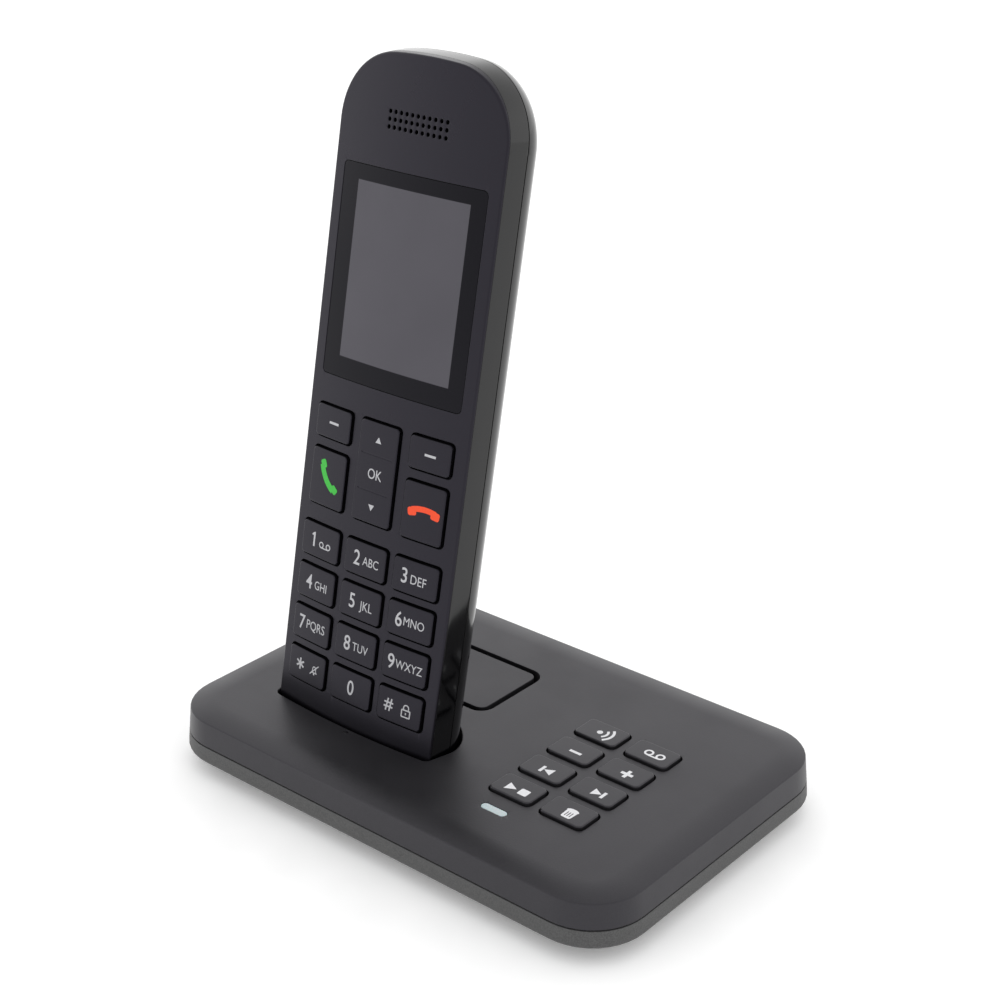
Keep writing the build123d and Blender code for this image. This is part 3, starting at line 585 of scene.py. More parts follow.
def paint_all(look):
    """Makes every finish, by name."""
    base_tint = {"Specular_Tint": (0.93, 0.90, 1.0, 1.0)}
    face_tint = {"Specular_Tint": (0.84, 0.79, 1.0, 1.0), "Specular_IOR_Level": 0.38}
    guide = {"mottle": 0.05, "Subsurface_Weight": 0.15, "Subsurface_Scale": 0.001}
    ink = {"mottle": 0.04}
    # Colour, least and greatest roughness of each plastic, and what else it differs in.
    plastics = {
        "charcoal_plastic_base": (look.charcoal, 0.34, 0.44, base_tint),
        "charcoal_plastic_face": (look.face_colour, 0.26, 0.34, {"grain": 0.000006, **face_tint}),
        # The lower cover's band has painted shade below the rim's height, for the shadow that falls under the
        # base.
        "charcoal_plastic_band": (look.band_colour, 0.52, 0.62,
                                  {"grain": 0.00002, "grain_scale": 3400.0, "mottle": 0.3,
                                   "shade_below": RIM_HEIGHT * MM}),
        "charcoal_plastic_panel": (look.charcoal, 0.40, 0.48, base_tint),
        "key_plastic": (look.key_colour, 0.28, 0.36, {"grain": 0.000005, **face_tint}),
        "base_key_plastic": (look.charcoal, 0.32, 0.42, {"grain": 0.000008, **base_tint}),
        "black_gloss": (look.gloss_colour, 0.08, 0.12,
                        {"grain": 0.0000004, "grain_scale": 1200.0, "Specular_IOR_Level": 0.55}),
        "white_ink": (look.ink_colour, 0.45, 0.6, ink),
        "base_ink": (look.base_ink_colour, 0.45, 0.6, ink),
        "green_ink": (look.call_colour, 0.45, 0.6, ink),
        "red_ink": (look.end_colour, 0.45, 0.6, ink),
        "light_guide": (look.light_colour, 0.25, 0.4, guide),
        "charge_light_guide": ((0.002, 0.002, 0.003), 0.2, 0.3, {"mottle": 0.1}),
        "foot_rubber": ((0.012, 0.012, 0.013), 0.7, 0.85, {"grain": 0.00004}),
        "silicone": ((0.22, 0.22, 0.23), 0.5, 0.65, {"mottle": 0.06}),
        "black_plastic": ((0.008, 0.008, 0.009), 0.35, 0.5, {}),
        "ferrite": ((0.03, 0.03, 0.033), 0.5, 0.7, {"grain": 0.00003}),
        "cone_film": ((0.10, 0.085, 0.05), 0.3, 0.42, {"mottle": 0.15}),
        "chip_resin": ((0.010, 0.010, 0.011), 0.55, 0.7, {"grain": 0.00002}),
        "display_panel": ((0.08, 0.08, 0.085), 0.2, 0.3, {"mottle": 0.05}),
        "pale_floor": (look.floor_colour, 0.85, 0.95,
                       {"grain": 0.0, "mottle": 0.01, "Specular_IOR_Level": 0.1,
                        "Emission_Color": (1.0, 1.0, 1.0, 1.0), "Emission_Strength": look.floor_glow}),
    }
    metals = {
        "steel": ((0.52, 0.52, 0.53), 0.28, 0.42),
        "contact_metal": ((0.72, 0.66, 0.50), 0.2, 0.34),
        "tinned_metal": ((0.62, 0.62, 0.60), 0.34, 0.5),
    }
    finishes = {name: moulded(name, *row, **settings) for name, (*row, settings) in plastics.items()}
    finishes.update({name: metal(name, *row) for name, row in metals.items()})
    finishes.update(display_glass=display_glass(look), circuit_board=circuit_board_finish(),
                    cell_wrap=wrapped_cell_finish())
    return {name: made.material for name, made in finishes.items()}


# Filled by main, so that every piece can ask for its finishes by name.
FINISHES = {}


# ---- base ----

def base_ring(inset, height):
    """Outline of the base moved in by inset, at this height."""
    flat = rounded(BASE_WIDTH - 2 * inset, BASE_DEPTH - 2 * inset, BASE_CORNER - inset,
                   runs=(40, 24), turns=10)
    return [(x, y, height) for x, y in flat]


def side_inset(height):
    """How far the base's side has drawn in at this height."""
    return (height - RIM_HEIGHT) / (CREASE_HEIGHT - RIM_HEIGHT)


def top_view(point):
    """Flat place of a point seen from above."""
    return point.x, point.y


def level(height):
    """Gives the place at this height over a flat place."""
    return lambda x, y: (x, y, height)


def drop(shape, profile):
    """Rows of an upright hole or boss: profile lists how far its outline has grown, and the height."""
    return [[(x, y, height) for x, y in shape(grow)] for grow, height in profile]


def rim(edge, height, floor):
    """Profile of a hole whose upper edge is eased: starts at the surface and ends on its floor."""
    return [(out, height - down) for out, down in quarter(edge)] + [(0.0, floor)]


def pocket_section(grow):
    """Section of the room for the handset, across and into its thickness, counterclockwise."""
    half = HALF + 0.1 + grow
    back = THICKNESS - SIDE_DEPTH + grow
    corner = 0.8 + grow

    def front(across):
        return POCKET_CROWN * crown(across) - grow

    def side(depth):
        return half - POCKET_DRAFT * draft(depth)

    start = front(HALF - 2.0) + corner
    turn_in = side(start) - corner
    right = [(turn_in * step / 12, front(turn_in * step / 12)) for step in range(12)]
    for step in range(7):
        turn = math.radians(15 * step)
        right.append((turn_in + corner * math.sin(turn), front(turn_in) + corner - corner * math.cos(turn)))
    depths = [start + (SIDE_DEPTH - start) * step / 4 for step in range(1, 4)]
    right += [(side(depth), depth) for depth in depths]
    turns = [math.radians(3 * step) for step in range(31)]
    right += [(half * math.cos(turn), SIDE_DEPTH + back * math.sin(turn)) for turn in turns]
    return right + [(-x, depth) for x, depth in right[-2:0:-1]]


def pocket_ring(grow, height):
    """The pocket's outline where it passes a level of the base."""
    section = pocket_section(grow)
    ups = [(height - FOOT_POINT.z - depth * INWARD.z) / UPWARD.z for _, depth in section]
    return [in_base((across, depth, up)) for (across, depth), up in zip(section, ups)]


def pocket_floor(grow, up):
    """The pocket's outline at a height along the handset."""
    return [in_base((across, depth, up)) for across, depth in pocket_section(grow)]


def floor_view(point):
    """Flat place on the pocket's floor of a point of the base."""
    offset = point - FOOT_POINT
    return offset.x, offset.dot(INWARD)


panel_shape = grown(*PANEL, PANEL_AT, (16, 10), 7)
light_bar_shape = grown(*LIGHT_BAR, LIGHT_BAR[1] / 2 - 0.01, LIGHT_BAR_AT, (3, 1), 8)


def base_top_cover(look):
    """Upper cover of the base, one closed skin."""
    skin = Skin()
    slope = []
    for step in range(1, SLOPE_STEPS + 1):
        part = step / SLOPE_STEPS
        rise = (BASE_TOP - CREASE_HEIGHT) * (1 - (1 - part) ** 2)
        slope.append((SLOPE_START + (SLOPE_END - SLOPE_START) * part, CREASE_HEIGHT + rise, 0))
    profile = eased([(3.0, TOP_INSIDE, 0), (3.0, SEAM_TOP, 0.1),
                     (side_inset(SEAM_TOP), SEAM_TOP, look.seam_ease),
                     (SLOPE_START, CREASE_HEIGHT, look.crease_ease), *slope], 5)
    under, outer = skin.rows([base_ring(inset, height) for inset, height in profile])
    openings, undersides, floors = [], [], []

    # The handset's pocket, with slots for the charging contacts in its floor.
    mouth = [pocket_ring(POCKET_ROOM + out, BASE_TOP - down)
             for out, down in quarter(look.pocket_ease, FINE_QUARTER)]
    skin.tube([*mouth, pocket_floor(POCKET_ROOM, POCKET_FLOOR[0])], openings, floors)
    skin.tube([pocket_floor(POCKET_WALL, POCKET_FLOOR[1]), pocket_ring(POCKET_WALL, TOP_INSIDE)],
              floors, undersides)
    tops, bottoms = [], []
    for side in (-8.0, 8.0):
        slot = rounded(3.2, 2.2, 0.15, (side, 11.0))
        skin.tube([[in_base((x, depth, up)) for x, depth in slot] for up in POCKET_FLOOR], tops, bottoms)
    for ring, slots, height in zip(floors, (tops, bottoms), POCKET_FLOOR):
        skin.field(ring, slots, floor_view, lambda x, depth, up=height: in_base((x, depth, up)), 3.0)

    # The well of the loudspeaker's panel, with slits in its floor.
    floors, tops, bottoms = [], [], []
    skin.tube(drop(lambda grow: panel_shape(PANEL_SLOT + grow), rim(0.1, BASE_TOP, PANEL_FLOOR[0])),
              openings, floors)
    skin.tube(drop(grown(43.0, 26.0, 4.6, PANEL_AT, (16, 10), 7), ((0, TOP_INSIDE), (0, PANEL_FLOOR[1]))),
              undersides, floors)
    for step in range(-4, 5):
        slit = grown(1.6, 12.0, 0.75, (PANEL_AT[0] + 3.4 * step, PANEL_AT[1]))
        skin.tube(drop(slit, [(0, height) for height in PANEL_FLOOR]), tops, bottoms)
    for ring, slits, height in zip(floors, (tops, bottoms), PANEL_FLOOR):
        skin.field(ring, slits, top_view, level(height), 3.0)

    for y in KEY_ROWS:
        for x in KEY_COLUMNS:
            shape = grown(*BASE_OPENING, (x, y), (4, 3))
            skin.tube(drop(shape, rim(look.opening_ease, BASE_TOP, TOP_INSIDE)), openings, undersides)
    skin.tube(drop(light_bar_shape, rim(0.08, BASE_TOP, TOP_INSIDE)), openings, undersides)
    skin.tube(drop(lambda grow: circle(0.65 + grow, CHARGE_LIGHT_AT, 20), rim(0.06, BASE_TOP, 13.8)),
              openings)
    for place in SCREW_PLACES:
        skin.tube(lathe(((3.0, TOP_INSIDE), (3.0, 4.1), (1.35, 4.1), (1.35, 12.5)), place), undersides)
    for place in BOARD_PINS:
        skin.tube(lathe(((1.0, TOP_INSIDE), (1.0, 9.6)), place, 16), undersides)
    skin.field(outer, openings, top_view, level(BASE_TOP), look.mesh_spacing)
    skin.field(under, undersides, top_view, level(TOP_INSIDE), 4.0)
    cover = collect("base_top_cover_skin", skin, ["charcoal_plastic_base"])
    cut_away(cover, boxes(SOCKET_ROOMS))
    return cover


def base_bottom_cover(look):
    """Lower cover of the base, one closed skin."""
    skin = Skin()
    outside, inside = BOTTOM_LEVELS
    profile = eased([(6.2, outside, 0), (5.0, outside, 0.8), (0.0, RIM_HEIGHT, look.rim_ease),
                     (side_inset(SEAM_BOTTOM), SEAM_BOTTOM, look.seam_ease), (3.2, SEAM_BOTTOM, 0.05),
                     (3.2, 9.95, 0.2), (4.4, 9.95, 0.2), (4.4, 6.95, 0), (2.0, 6.95, 0), (2.0, 5.4, 0),
                     (6.5, inside, 0)], 5)
    lower, upper = skin.rows([base_ring(inset, height) for inset, height in profile])
    outer_holes, inner_holes = [], []
    for place in SCREW_PLACES:
        skin.tube(lathe(((3.15, outside), (3.0, 1.35), (3.0, 2.5), (1.6, 2.5), (1.6, 3.9), (4.2, 3.9),
                         (4.2, inside)), place, 32), outer_holes, inner_holes)
    for place in FOOT_PLACES:
        skin.tube(lathe(((4.65, outside), (4.55, 1.3), (4.55, 1.6)), place, 40), outer_holes)
    skin.field(lower, outer_holes, top_view, level(outside), 4.0)
    skin.field(upper, inner_holes, top_view, level(inside), 5.0)
    for place in BOARD_POSTS:
        skin.post(((1.6, 2.4), (1.6, 4.15)), place)
    cover = collect("base_bottom_cover_skin", skin, ["charcoal_plastic_band"])
    cut_away(cover, boxes(SOCKET_ROOMS))
    return cover


def speaker_panel(look):
    """Flat lid over the loudspeaker, with an eased edge and four pegs."""
    skin = Skin()
    back = 13.9
    profile = [(-out, BASE_TOP - down) for out, down in quarter(look.panel_ease, FINE_QUARTER)]
    top, bottom = skin.rows(drop(panel_shape, [*profile, (0.0, 14.0), (-0.1, back)]))
    skin.field(top, [], top_view, level(BASE_TOP), 3.0)
    pegs = []
    for side_x in (-16.8, 16.8):
        for side_y in (-8.4, 8.4):
            at = (PANEL_AT[0] + side_x, PANEL_AT[1] + side_y)
            skin.tube(lathe(((1.2, back), (1.2, PANEL_FLOOR[0])), at, 20), pegs)
    skin.field(bottom, pegs, top_view, level(back), 4.0)
    return collect("speaker_panel_lid", skin, ["charcoal_plastic_panel"])


# ---- marks on the keys ----

# Height of a capital letter in the built-in font at size 1, and how narrow the letters are made.
CAPITAL = 0.69
NARROWING = 0.86


def flat_mesh(curve):
    """Points and faces of a filled flat curve or text, as a thin plate."""
    curve.extrude = 0.5
    holder = bpy.data.objects.new("mark", curve)
    mesh = bpy.data.meshes.new_from_object(holder)
    work = bmesh.new()
    work.from_mesh(mesh)
    bmesh.ops.remove_doubles(work, verts=work.verts, dist=1e-5)
    points = [vert.co.copy() for vert in work.verts]
    faces = [tuple(vert.index for vert in face.verts) for face in work.faces]
    work.free()
    bpy.data.meshes.remove(mesh)
    bpy.data.objects.remove(holder)
    return points, faces


def writing(text, height, weight):
    """Plain lettering with capitals of this height, about its own middle."""
    curve = bpy.data.curves.new("writing", "FONT")
    curve.body = text
    curve.resolution_u = 5
    curve.offset = weight
    points, faces = flat_mesh(curve)
    bpy.data.curves.remove(curve)
    left, right = (limit(point.x for point in points) for limit in (min, max))
    scale = height / CAPITAL
    middle = Vector(((left + right) / 2, CAPITAL / 2, 0))
    return [Vector((x * scale * NARROWING, y * scale, z)) for x, y, z in (p - middle for p in points)], faces


def drawing(outlines):
    """Filled drawing with closed outlines, in millimetres. An outline inside another is a hole."""
    curve = bpy.data.curves.new("drawing", "CURVE")
    curve.dimensions = "2D"
    curve.fill_mode = "BOTH"
    for outline in outlines:
        spline = curve.splines.new("POLY")
        spline.points.add(len(outline) - 1)
        for point, (x, y) in zip(spline.points, outline):
            point.co = (x, y, 0, 1)
        spline.use_cyclic_u = True
    points, faces = flat_mesh(curve)
    bpy.data.curves.remove(curve)
    return points, faces


def bar(start, end, width):
    """Outline of a straight stroke."""
    start, end = Vector(start), Vector(end)
    along = (end - start).normalized()
    side = Vector((-along.y, along.x)) * width / 2
    return [tuple(start - side), tuple(end - side), tuple(end + side), tuple(start + side)]


def bow(centre, radius, width, first, last, count=14):
    """Outline of a curved stroke between two angles in degrees."""
    angles = [math.radians(first + (last - first) * step / count) for step in range(count + 1)]
    return [(centre[0] + reach * math.cos(angle), centre[1] + reach * math.sin(angle))
            for reach, turns in ((radius + width / 2, angles), (radius - width / 2, angles[::-1]))
            for angle in turns]


def hoop(centre, radius, width):
    """Outlines of a ring."""
    return [circle(radius + width / 2, centre, 20), circle(radius - width / 2, centre, 20)]


def turned(outline, degrees):
    """Outline turned about the origin."""
    cosine, sine = math.cos(math.radians(degrees)), math.sin(math.radians(degrees))
    return [(x * cosine - y * sine, x * sine + y * cosine) for x, y in outline]


def receiver(length, thick, arch, grip, angle):
    """Drawings of a telephone receiver seen from the side and turned by an angle."""
    half = length / 2 - grip / 2
    radius = (half * half + arch * arch) / (2 * arch)
    spread = math.degrees(math.asin(half / radius))
    # Four short bows follow the curved keys better than a long one.
    parts = [[bow((0, arch - radius), radius, thick, start - 0.3, start + spread / 2 + 0.3, 4)]
             for start in (90 + spread * step for step in (-1, -0.5, 0, 0.5))]
    for side in (-1, 1):
        end = turned(rounded(grip, grip * 0.82, grip * 0.22, turns=3), -side * spread * 0.6)
        parts.append([[(side * half + x, y - thick * 0.35) for x, y in end]])
    return [[turned(outline, angle) for outline in part] for part in parts]


def drawings():
    """The pictures on the keys, each a list of drawings that may overlap."""
    one = [[[(-0.27, -1.7), (0.27, -1.7), (0.27, 1.7), (-0.12, 1.7), (-0.85, 1.12), (-0.62, 0.76),
             (-0.27, 1.0)]]]
    tape = [hoop((-1.14, 0), 0.62, 0.28), hoop((1.14, 0), 0.62, 0.28),
            [bar((-1.14, -0.66), (1.14, -0.66), 0.26)]]
    bell = [[[(-1.05, -0.75), (1.05, -0.75), (0.68, -0.25), (0.6, 0.5), (0.3, 0.95), (-0.3, 0.95),
              (-0.6, 0.5), (-0.68, -0.25)],
             [(-0.62, -0.5), (0.62, -0.5), (0.42, -0.15), (0.38, 0.42), (0.18, 0.7), (-0.18, 0.7),
              (-0.38, 0.42), (-0.42, -0.15)]],
            [bar((-1.35, -1.2), (1.35, 1.35), 0.26)], [circle(0.24, (0, -0.98), 12)]]
    lock = [[bow((0, 0.35), 0.62, 0.26, 0, 180)], [bar((-0.62, 0), (-0.62, 0.36), 0.26)],
            [bar((0.62, 0), (0.62, 0.36), 0.26)],
            [rounded(2.3, 1.75, 0.25, (0, -0.85)), rounded(1.74, 1.2, 0.12, (0, -0.85))],
            [bar((0, -1.1), (0, -0.6), 0.26)]]
    lock = [[[(1.12 * x, 1.12 * y) for x, y in outline] for outline in part] for part in lock]
    bin_lid = [[(-1.55, 1.15), (1.55, 1.15), (1.55, 1.4), (1.1, 1.75), (0.5, 1.92), (-0.5, 1.92),
                (-1.1, 1.75), (-1.55, 1.4)]]
    bin_body = [[(-1.4, 1.25), (-1.25, -1.4), (-0.95, -1.7), (0.95, -1.7), (1.25, -1.4), (1.4, 1.25)]]
    bin_body += [rounded(0.24, 1.7, 0.1, (x, -0.25)) for x in (-0.62, 0.0, 0.62)]
    return {
        "one": one,
        "dash": [[bar((-1.5, 0), (1.5, 0), 0.55)]],
        "up": [[[(-0.85, -0.6), (0.85, -0.6), (0, 0.8)]]],
        "down": [[[(-0.85, 0.6), (0, -0.8), (0.85, 0.6)]]],
        "call": receiver(8.6, 1.5, 0.65, 2.0, 128),
        "end": receiver(8.6, 1.3, 0.45, 2.3, 3),
        "tape": tape,
        "bell": bell,
        "lock": lock,
        "star": [[bar(*pair, 0.45)] for pair in (((0, -1.4), (0, 1.4)), ((-1.2, -0.7), (1.2, 0.7)),
                                                 ((-1.2, 0.7), (1.2, -0.7)))],
        "hash": [[bar(*pair, 0.38)] for pair in (((-0.75, -1.5), (-0.25, 1.5)), ((0.25, -1.5), (0.75, 1.5)),
                                                 ((-1.25, 0.5), (1.25, 0.5)), ((-1.35, -0.5), (1.15, -0.5)))],
        "page": [[circle(0.72, (-1.75, 0), 16)], [bow((-1.75, 0), 1.95, 0.6, -46, 46)],
                 [bow((-1.75, 0), 3.3, 0.66, -46, 46)]],
        "messages": [hoop((-1.55, 0.1), 0.92, 0.5), hoop((1.55, 0.1), 0.92, 0.5),
                     [bar((-1.55, -0.9), (1.55, -0.9), 0.45)]],
        "minus": [[bar((-1.6, 0), (1.6, 0), 0.8)]],
        "plus": [[bar((-1.55, 0), (1.55, 0), 0.85)], [bar((0, -1.5), (0, 1.5), 0.85)]],
        "previous": [[bar((-1.25, -1.2), (-1.25, 1.2), 0.75)], [[(1.55, -1.25), (1.55, 1.25), (-0.75, 0)]]],
        "next": [[[(-1.55, -1.25), (0.75, 0), (-1.55, 1.25)]], [bar((1.25, -1.2), (1.25, 1.2), 0.75)]],
        "play_stop": [[[(-2.9, -1.35), (-0.3, 0), (-2.9, 1.35)]],
                      [rounded(2.4, 2.3, 0.35, (1.75, 0))]],
        "bin": [bin_lid, bin_body],
    }


# Marks of each key: text or a drawing's name, height of text, and place across and up.
HANDSET_MARKS = {
    "key_1": (("=one", 0, -16.6, 47.65), ("=tape", 0, -12.9, 46.95)),
    "key_2": (("2", 3.4, -2.35, 47.65), ("ABC", 2.0, 1.85, 47.4)),
    "key_3": (("3", 3.4, 11.8, 47.65), ("DEF", 2.1, 15.75, 47.25)),
    "key_4": (("4", 3.4, -16.8, 37.4), ("GHI", 2.0, -12.8, 37.1)),
    "key_5": (("5", 3.4, -2.35, 37.4), ("JKL", 2.1, 1.95, 37.0)),
    "key_6": (("6", 3.4, 11.7, 37.4), ("MNO", 2.0, 15.95, 37.3)),
    "key_7": (("7", 3.4, -17.7, 27.15), ("PQRS", 2.15, -13.0, 27.2)),
    "key_8": (("8", 3.4, -2.4, 27.15), ("TUV", 2.0, 1.7, 26.85)),
    "key_9": (("9", 3.4, 11.0, 27.15), ("WXYZ", 2.0, 16.0, 27.0)),
    "key_star": (("=star", 0, -16.8, 17.0), ("=bell", 0, -11.9, 16.9)),
    "key_0": (("0", 3.4, 0.2, 16.9),),
    "key_hash": (("=hash", 0, 11.8, 16.85), ("=lock", 0, 16.7, 17.1)),
    "key_soft_left": (("=dash", 0, -14.2, 75.65),),
    "key_soft_right": (("=dash", 0, 14.8, 75.65),),
    "key_navigation": (("=up", 0, 0.1, 75.4), ("OK", 2.3, 0.1, 67.6), ("=down", 0, 0.1, 60.0)),
    "key_call": (("=call", 0, -14.4, 62.95),),
    "key_end": (("=end", 0, 14.85, 63.1),),
}
BASE_MARKS = {
    "key_page": (("=page", 0, 24.3, 11.8),),
    "key_messages": (("=messages", 0, 37.8, 11.9),),
    "key_volume_down": (("=minus", 0, 23.6, 1.4),),
    "key_volume_up": (("=plus", 0, 37.8, 1.6),),
    "key_previous": (("=previous", 0, 23.4, -8.6),),
    "key_next": (("=next", 0, 37.7, -8.5),),
    "key_play_stop": (("=play_stop", 0, 23.4, -18.7),),
    "key_delete": (("=bin", 0, 37.7, -18.7),),
}


def ink_marks(skin, marks, pictures, surface):
    """Adds a key's marks as thin plates. surface gives the place over a flat place and a height."""
    skin.slot = 1
    for what, height, x, y in marks:
        if what.startswith("="):
            plates = [drawing(outlines) for outlines in pictures[what[1:]]]
        else:
            plates = [writing(what, height, 0.008 if height > 3 else 0.0)]
        for layer, (points, faces) in enumerate(plates):
            lift = INK_LIFT + INK_LAYER * layer
            numbers = skin.ring([surface(x + p.x, y + p.y, lift if p.z > 0 else -INK_ROOT) for p in points])
            for face in faces:
                skin.face(*(numbers[i] for i in face))
    skin.slot = 0


# ---- keys ----

# Distance of the number keys across and up, and the height of their upper row.
KEY_PITCH = (14.62, 10.24)
TOP_ROW = 47.5
# Heights of the two creases that part the navigation key, and how each widens and sinks by steps.
CREASES = (63.6, 71.9)
CREASE_STEPS = ((0.0, 0.0), (-0.02, 0.08), (-0.10, 0.12))


def base_key(name, at, look, pictures):
    """Key of the base: cap with a soft edge, flange and mark."""
    skin = Skin()
    width, depth, corner = BASE_OPENING
    top = BASE_TOP + KEY_PROUD

    def shape(grow):
        return rounded(width + 2 * (grow - KEY_GAP), depth + 2 * (grow - KEY_GAP),
                       corner - KEY_GAP + min(grow, 0), at, (4, 3), 6)

    profile = [(-out, top - down) for out, down in quarter(look.key_ease, KEY_QUARTER)]
    profile += [(0.0, 13.37), (FLANGE, 13.35), (FLANGE, 12.85)]
    upper, lower = skin.rows(drop(shape, profile))
    skin.field(upper, [], top_view, level(top), 1.6)
    skin.field(lower, [], top_view, level(12.85), 3.0)
    ink_marks(skin, BASE_MARKS[name], pictures, lambda x, y, lift: (x, y, top + lift))
    fit(collect(name + "_cap", skin, ["base_key_plastic", "base_ink"]), name, name)


def crown(across, offset=0.0):
    """Depth of the handset's curved face, moved in by offset."""
    radius = CROWN_RADIUS - offset
    return CROWN_RADIUS - math.sqrt(radius * radius - across * across)


def key_places():
    """Centre x, half width and z limits of every key opening in the handset's face."""
    rows = (("key_1", "key_2", "key_3"), ("key_4", "key_5", "key_6"), ("key_7", "key_8", "key_9"),
            ("key_star", "key_0", "key_hash"))
    places = {}
    for row, keys in enumerate(rows):
        middle = TOP_ROW - KEY_PITCH[1] * row
        for column, name in enumerate(keys):
            places[name] = (KEY_PITCH[0] * (column - 1), 6.6, middle - 4.35, middle + 4.35)
    for names, limits in ((("key_soft_left", "key_soft_right"), (71.5, 79.7)),
                          (("key_call", "key_end"), (55.65, 69.55))):
        for name, x in zip(names, (-14.53, 14.53)):
            places[name] = (x, 6.05, *limits)
    places["key_navigation"] = (0.0, 6.15, 55.8, 79.7)
    return places


def front_view(point):
    """Flat place of a handset point seen from the front."""
    return point.x, point.z


def opening_shape(x, half, low, high, corner=1.3):
    """Outline of a key opening, grown by an amount."""
    runs = (8, max(4, round((high - low) / 1.6)))
    return grown(2 * half, high - low, corner, (x, (low + high) / 2), runs)


def sunk_ring(flat, depth):
    """Points over a flat outline at a depth that may depend on the place across."""
    return [(x, depth(x) if callable(depth) else depth, z) for x, z in flat]


def lip(shape, edge, surface, angles=QUARTER, outward=1, deeper=1):
    """Rows round an eased edge. surface gives the depth at a place across.

    outward is 1 for a hole and -1 for a cap, and deeper is 1 in the face and -1 in the back.
    """
    return [sunk_ring(shape(outward * out), lambda across, down=down: surface(across) + deeper * down)
            for out, down in quarter(edge, angles)]


def handset_key(name, place, look, pictures, ink):
    """Key of the handset: cap that follows the face, flange and marks."""
    x, half, low, high = place
    navigation = name == "key_navigation"
    skin = Skin()
    cap = opening_shape(x, half - KEY_GAP, low + KEY_GAP, high - KEY_GAP, 1.3 - KEY_GAP)
    flange_top = 2.1 if navigation else 2.45
    flange_low = flange_top + 0.5

    def face(across):
        return crown(across, -KEY_PROUD)

    rows = lip(cap, look.key_ease * 0.85, face, KEY_QUARTER, outward=-1)
    rows += [sunk_ring(cap(0), flange_top - 0.02), sunk_ring(cap(FLANGE), flange_top),
             sunk_ring(cap(FLANGE), flange_low)]
    upper, lower = skin.rows(rows)
    creases, hollow = [], []
    for height in CREASES if navigation else ():
        crease = grown(2 * (half - 1.5), 0.4, 0.19, (0.0, height), (20, 1))
        floors = []
        skin.tube([sunk_ring(crease(grow), lambda across, sink=sink: face(across) + sink)
                   for grow, sink in CREASE_STEPS], creases, floors)
        skin.field(floors[0], [], front_view, lambda u, z: (u, face(u) + CREASE_STEPS[-1][1], z), 1.5)
    skin.field(upper, creases, front_view, lambda u, z: (u, face(u), z), 1.5)
    if navigation:
        well = rounded(4.8, 4.8, 0.5, (0.0, (low + high) / 2))
        skin.tube([sunk_ring(well, flange_low), sunk_ring(well, 1.3)], hollow)
    skin.field(lower, hollow, front_view, lambda u, z: (u, flange_low, z), 3.0)
    ink_marks(skin, HANDSET_MARKS[name], pictures, lambda u, z, lift: (u, face(u) - lift, z))
    fit(collect(name + "_cap", leaned(skin), ["key_plastic", ink]), name, name)


# ---- handset shells ----

BOTTOM_RUN, FOOT_TURNS, SIDE_RUN, CORNER_TURNS, ARCH_RUN = 8, 8, 58, 18, 10
LOW_STATION = BOTTOM_RUN + FOOT_TURNS + 2
HIGH_STATION = LOW_STATION + SIDE_RUN
TOP_MIDDLE = HIGH_STATION + 3 + CORNER_TURNS + ARCH_RUN
OUTLINE_COUNT = 2 * TOP_MIDDLE
STRAIGHT = (6.5, 142.0)


def arc(centre, radius, first, last, count):
    """Points and directions along an arc, both ends among them."""
    found = []
    for step in range(count + 1):
        angle = first + (last - first) * step / count
        x, z = math.cos(angle), math.sin(angle)
        found.append((centre[0] + radius * x, centre[1] + radius * z, x, z))
    return found


def handset_outline(half, low, high, arch, corner, foot):
    """Front view of the handset, counterclockwise from the middle of its lower end.

    Each entry holds a place and the outward direction there.
    """
    hub = high - arch
    side = half - corner
    shoulder = hub + math.sqrt((arch - corner) ** 2 - side ** 2)
    lift = math.atan2(shoulder - hub, side)
    right = [((half - foot) * step / BOTTOM_RUN, low, 0.0, -1.0) for step in range(BOTTOM_RUN)]
    right += arc((half - foot, low + foot), foot, -math.pi / 2, 0.0, FOOT_TURNS)
    start, end = max(STRAIGHT[0], low + foot + 0.4), min(STRAIGHT[1], shoulder - 0.4)
    for first, last, pieces in ((low + foot, start, 2), (start, end, SIDE_RUN), (end, shoulder, 3)):
        right += [(half, first + (last - first) * step / pieces, 1.0, 0.0) for step in range(1, pieces + 1)]
    right += arc((side, shoulder), corner, 0.0, lift, CORNER_TURNS)[1:]
    right += arc((0.0, hub), arch, lift, math.pi / 2, ARCH_RUN)[1:]
    return right + [(-x, z, -nx, nz) for x, z, nx, nz in right[-2:0:-1]]


def inset_outline(inset):
    """The handset's outline moved in evenly."""
    return handset_outline(HALF - inset, inset, LENGTH - inset, ARCH_RADIUS - inset,
                           TOP_CORNER - inset, FOOT_CORNER - inset)


def outline_row(inset, depth):
    """Row round the handset's outline, moved in evenly, at a depth."""
    return sunk_ring([entry[:2] for entry in inset_outline(inset)], depth)


def draft(depth):
    """How far the side has drawn in at this depth."""
    ahead = max(SIDE_DEPTH - depth, 0.0)
    return ahead * (DRAFT_SLOPE + DRAFT_BEND * ahead)


def edge_hub(entry):
    """Centre of the rolled edge, the side's direction below it, and the depth where the side starts."""
    x, z, nx, nz = entry
    depth = 2.0
    for _ in range(8):
        slope = DRAFT_SLOPE + 2 * DRAFT_BEND * (SIDE_DEPTH - depth)
        side = Vector((nx, -slope, nz)).normalized()
        place = Vector((x, depth, z)) - draft(depth) * Vector((nx, 0.0, nz))
        hub = place - EDGE_RADIUS * side
        depth -= hub.y - crown(hub.x, EDGE_RADIUS)
    return hub, side, depth


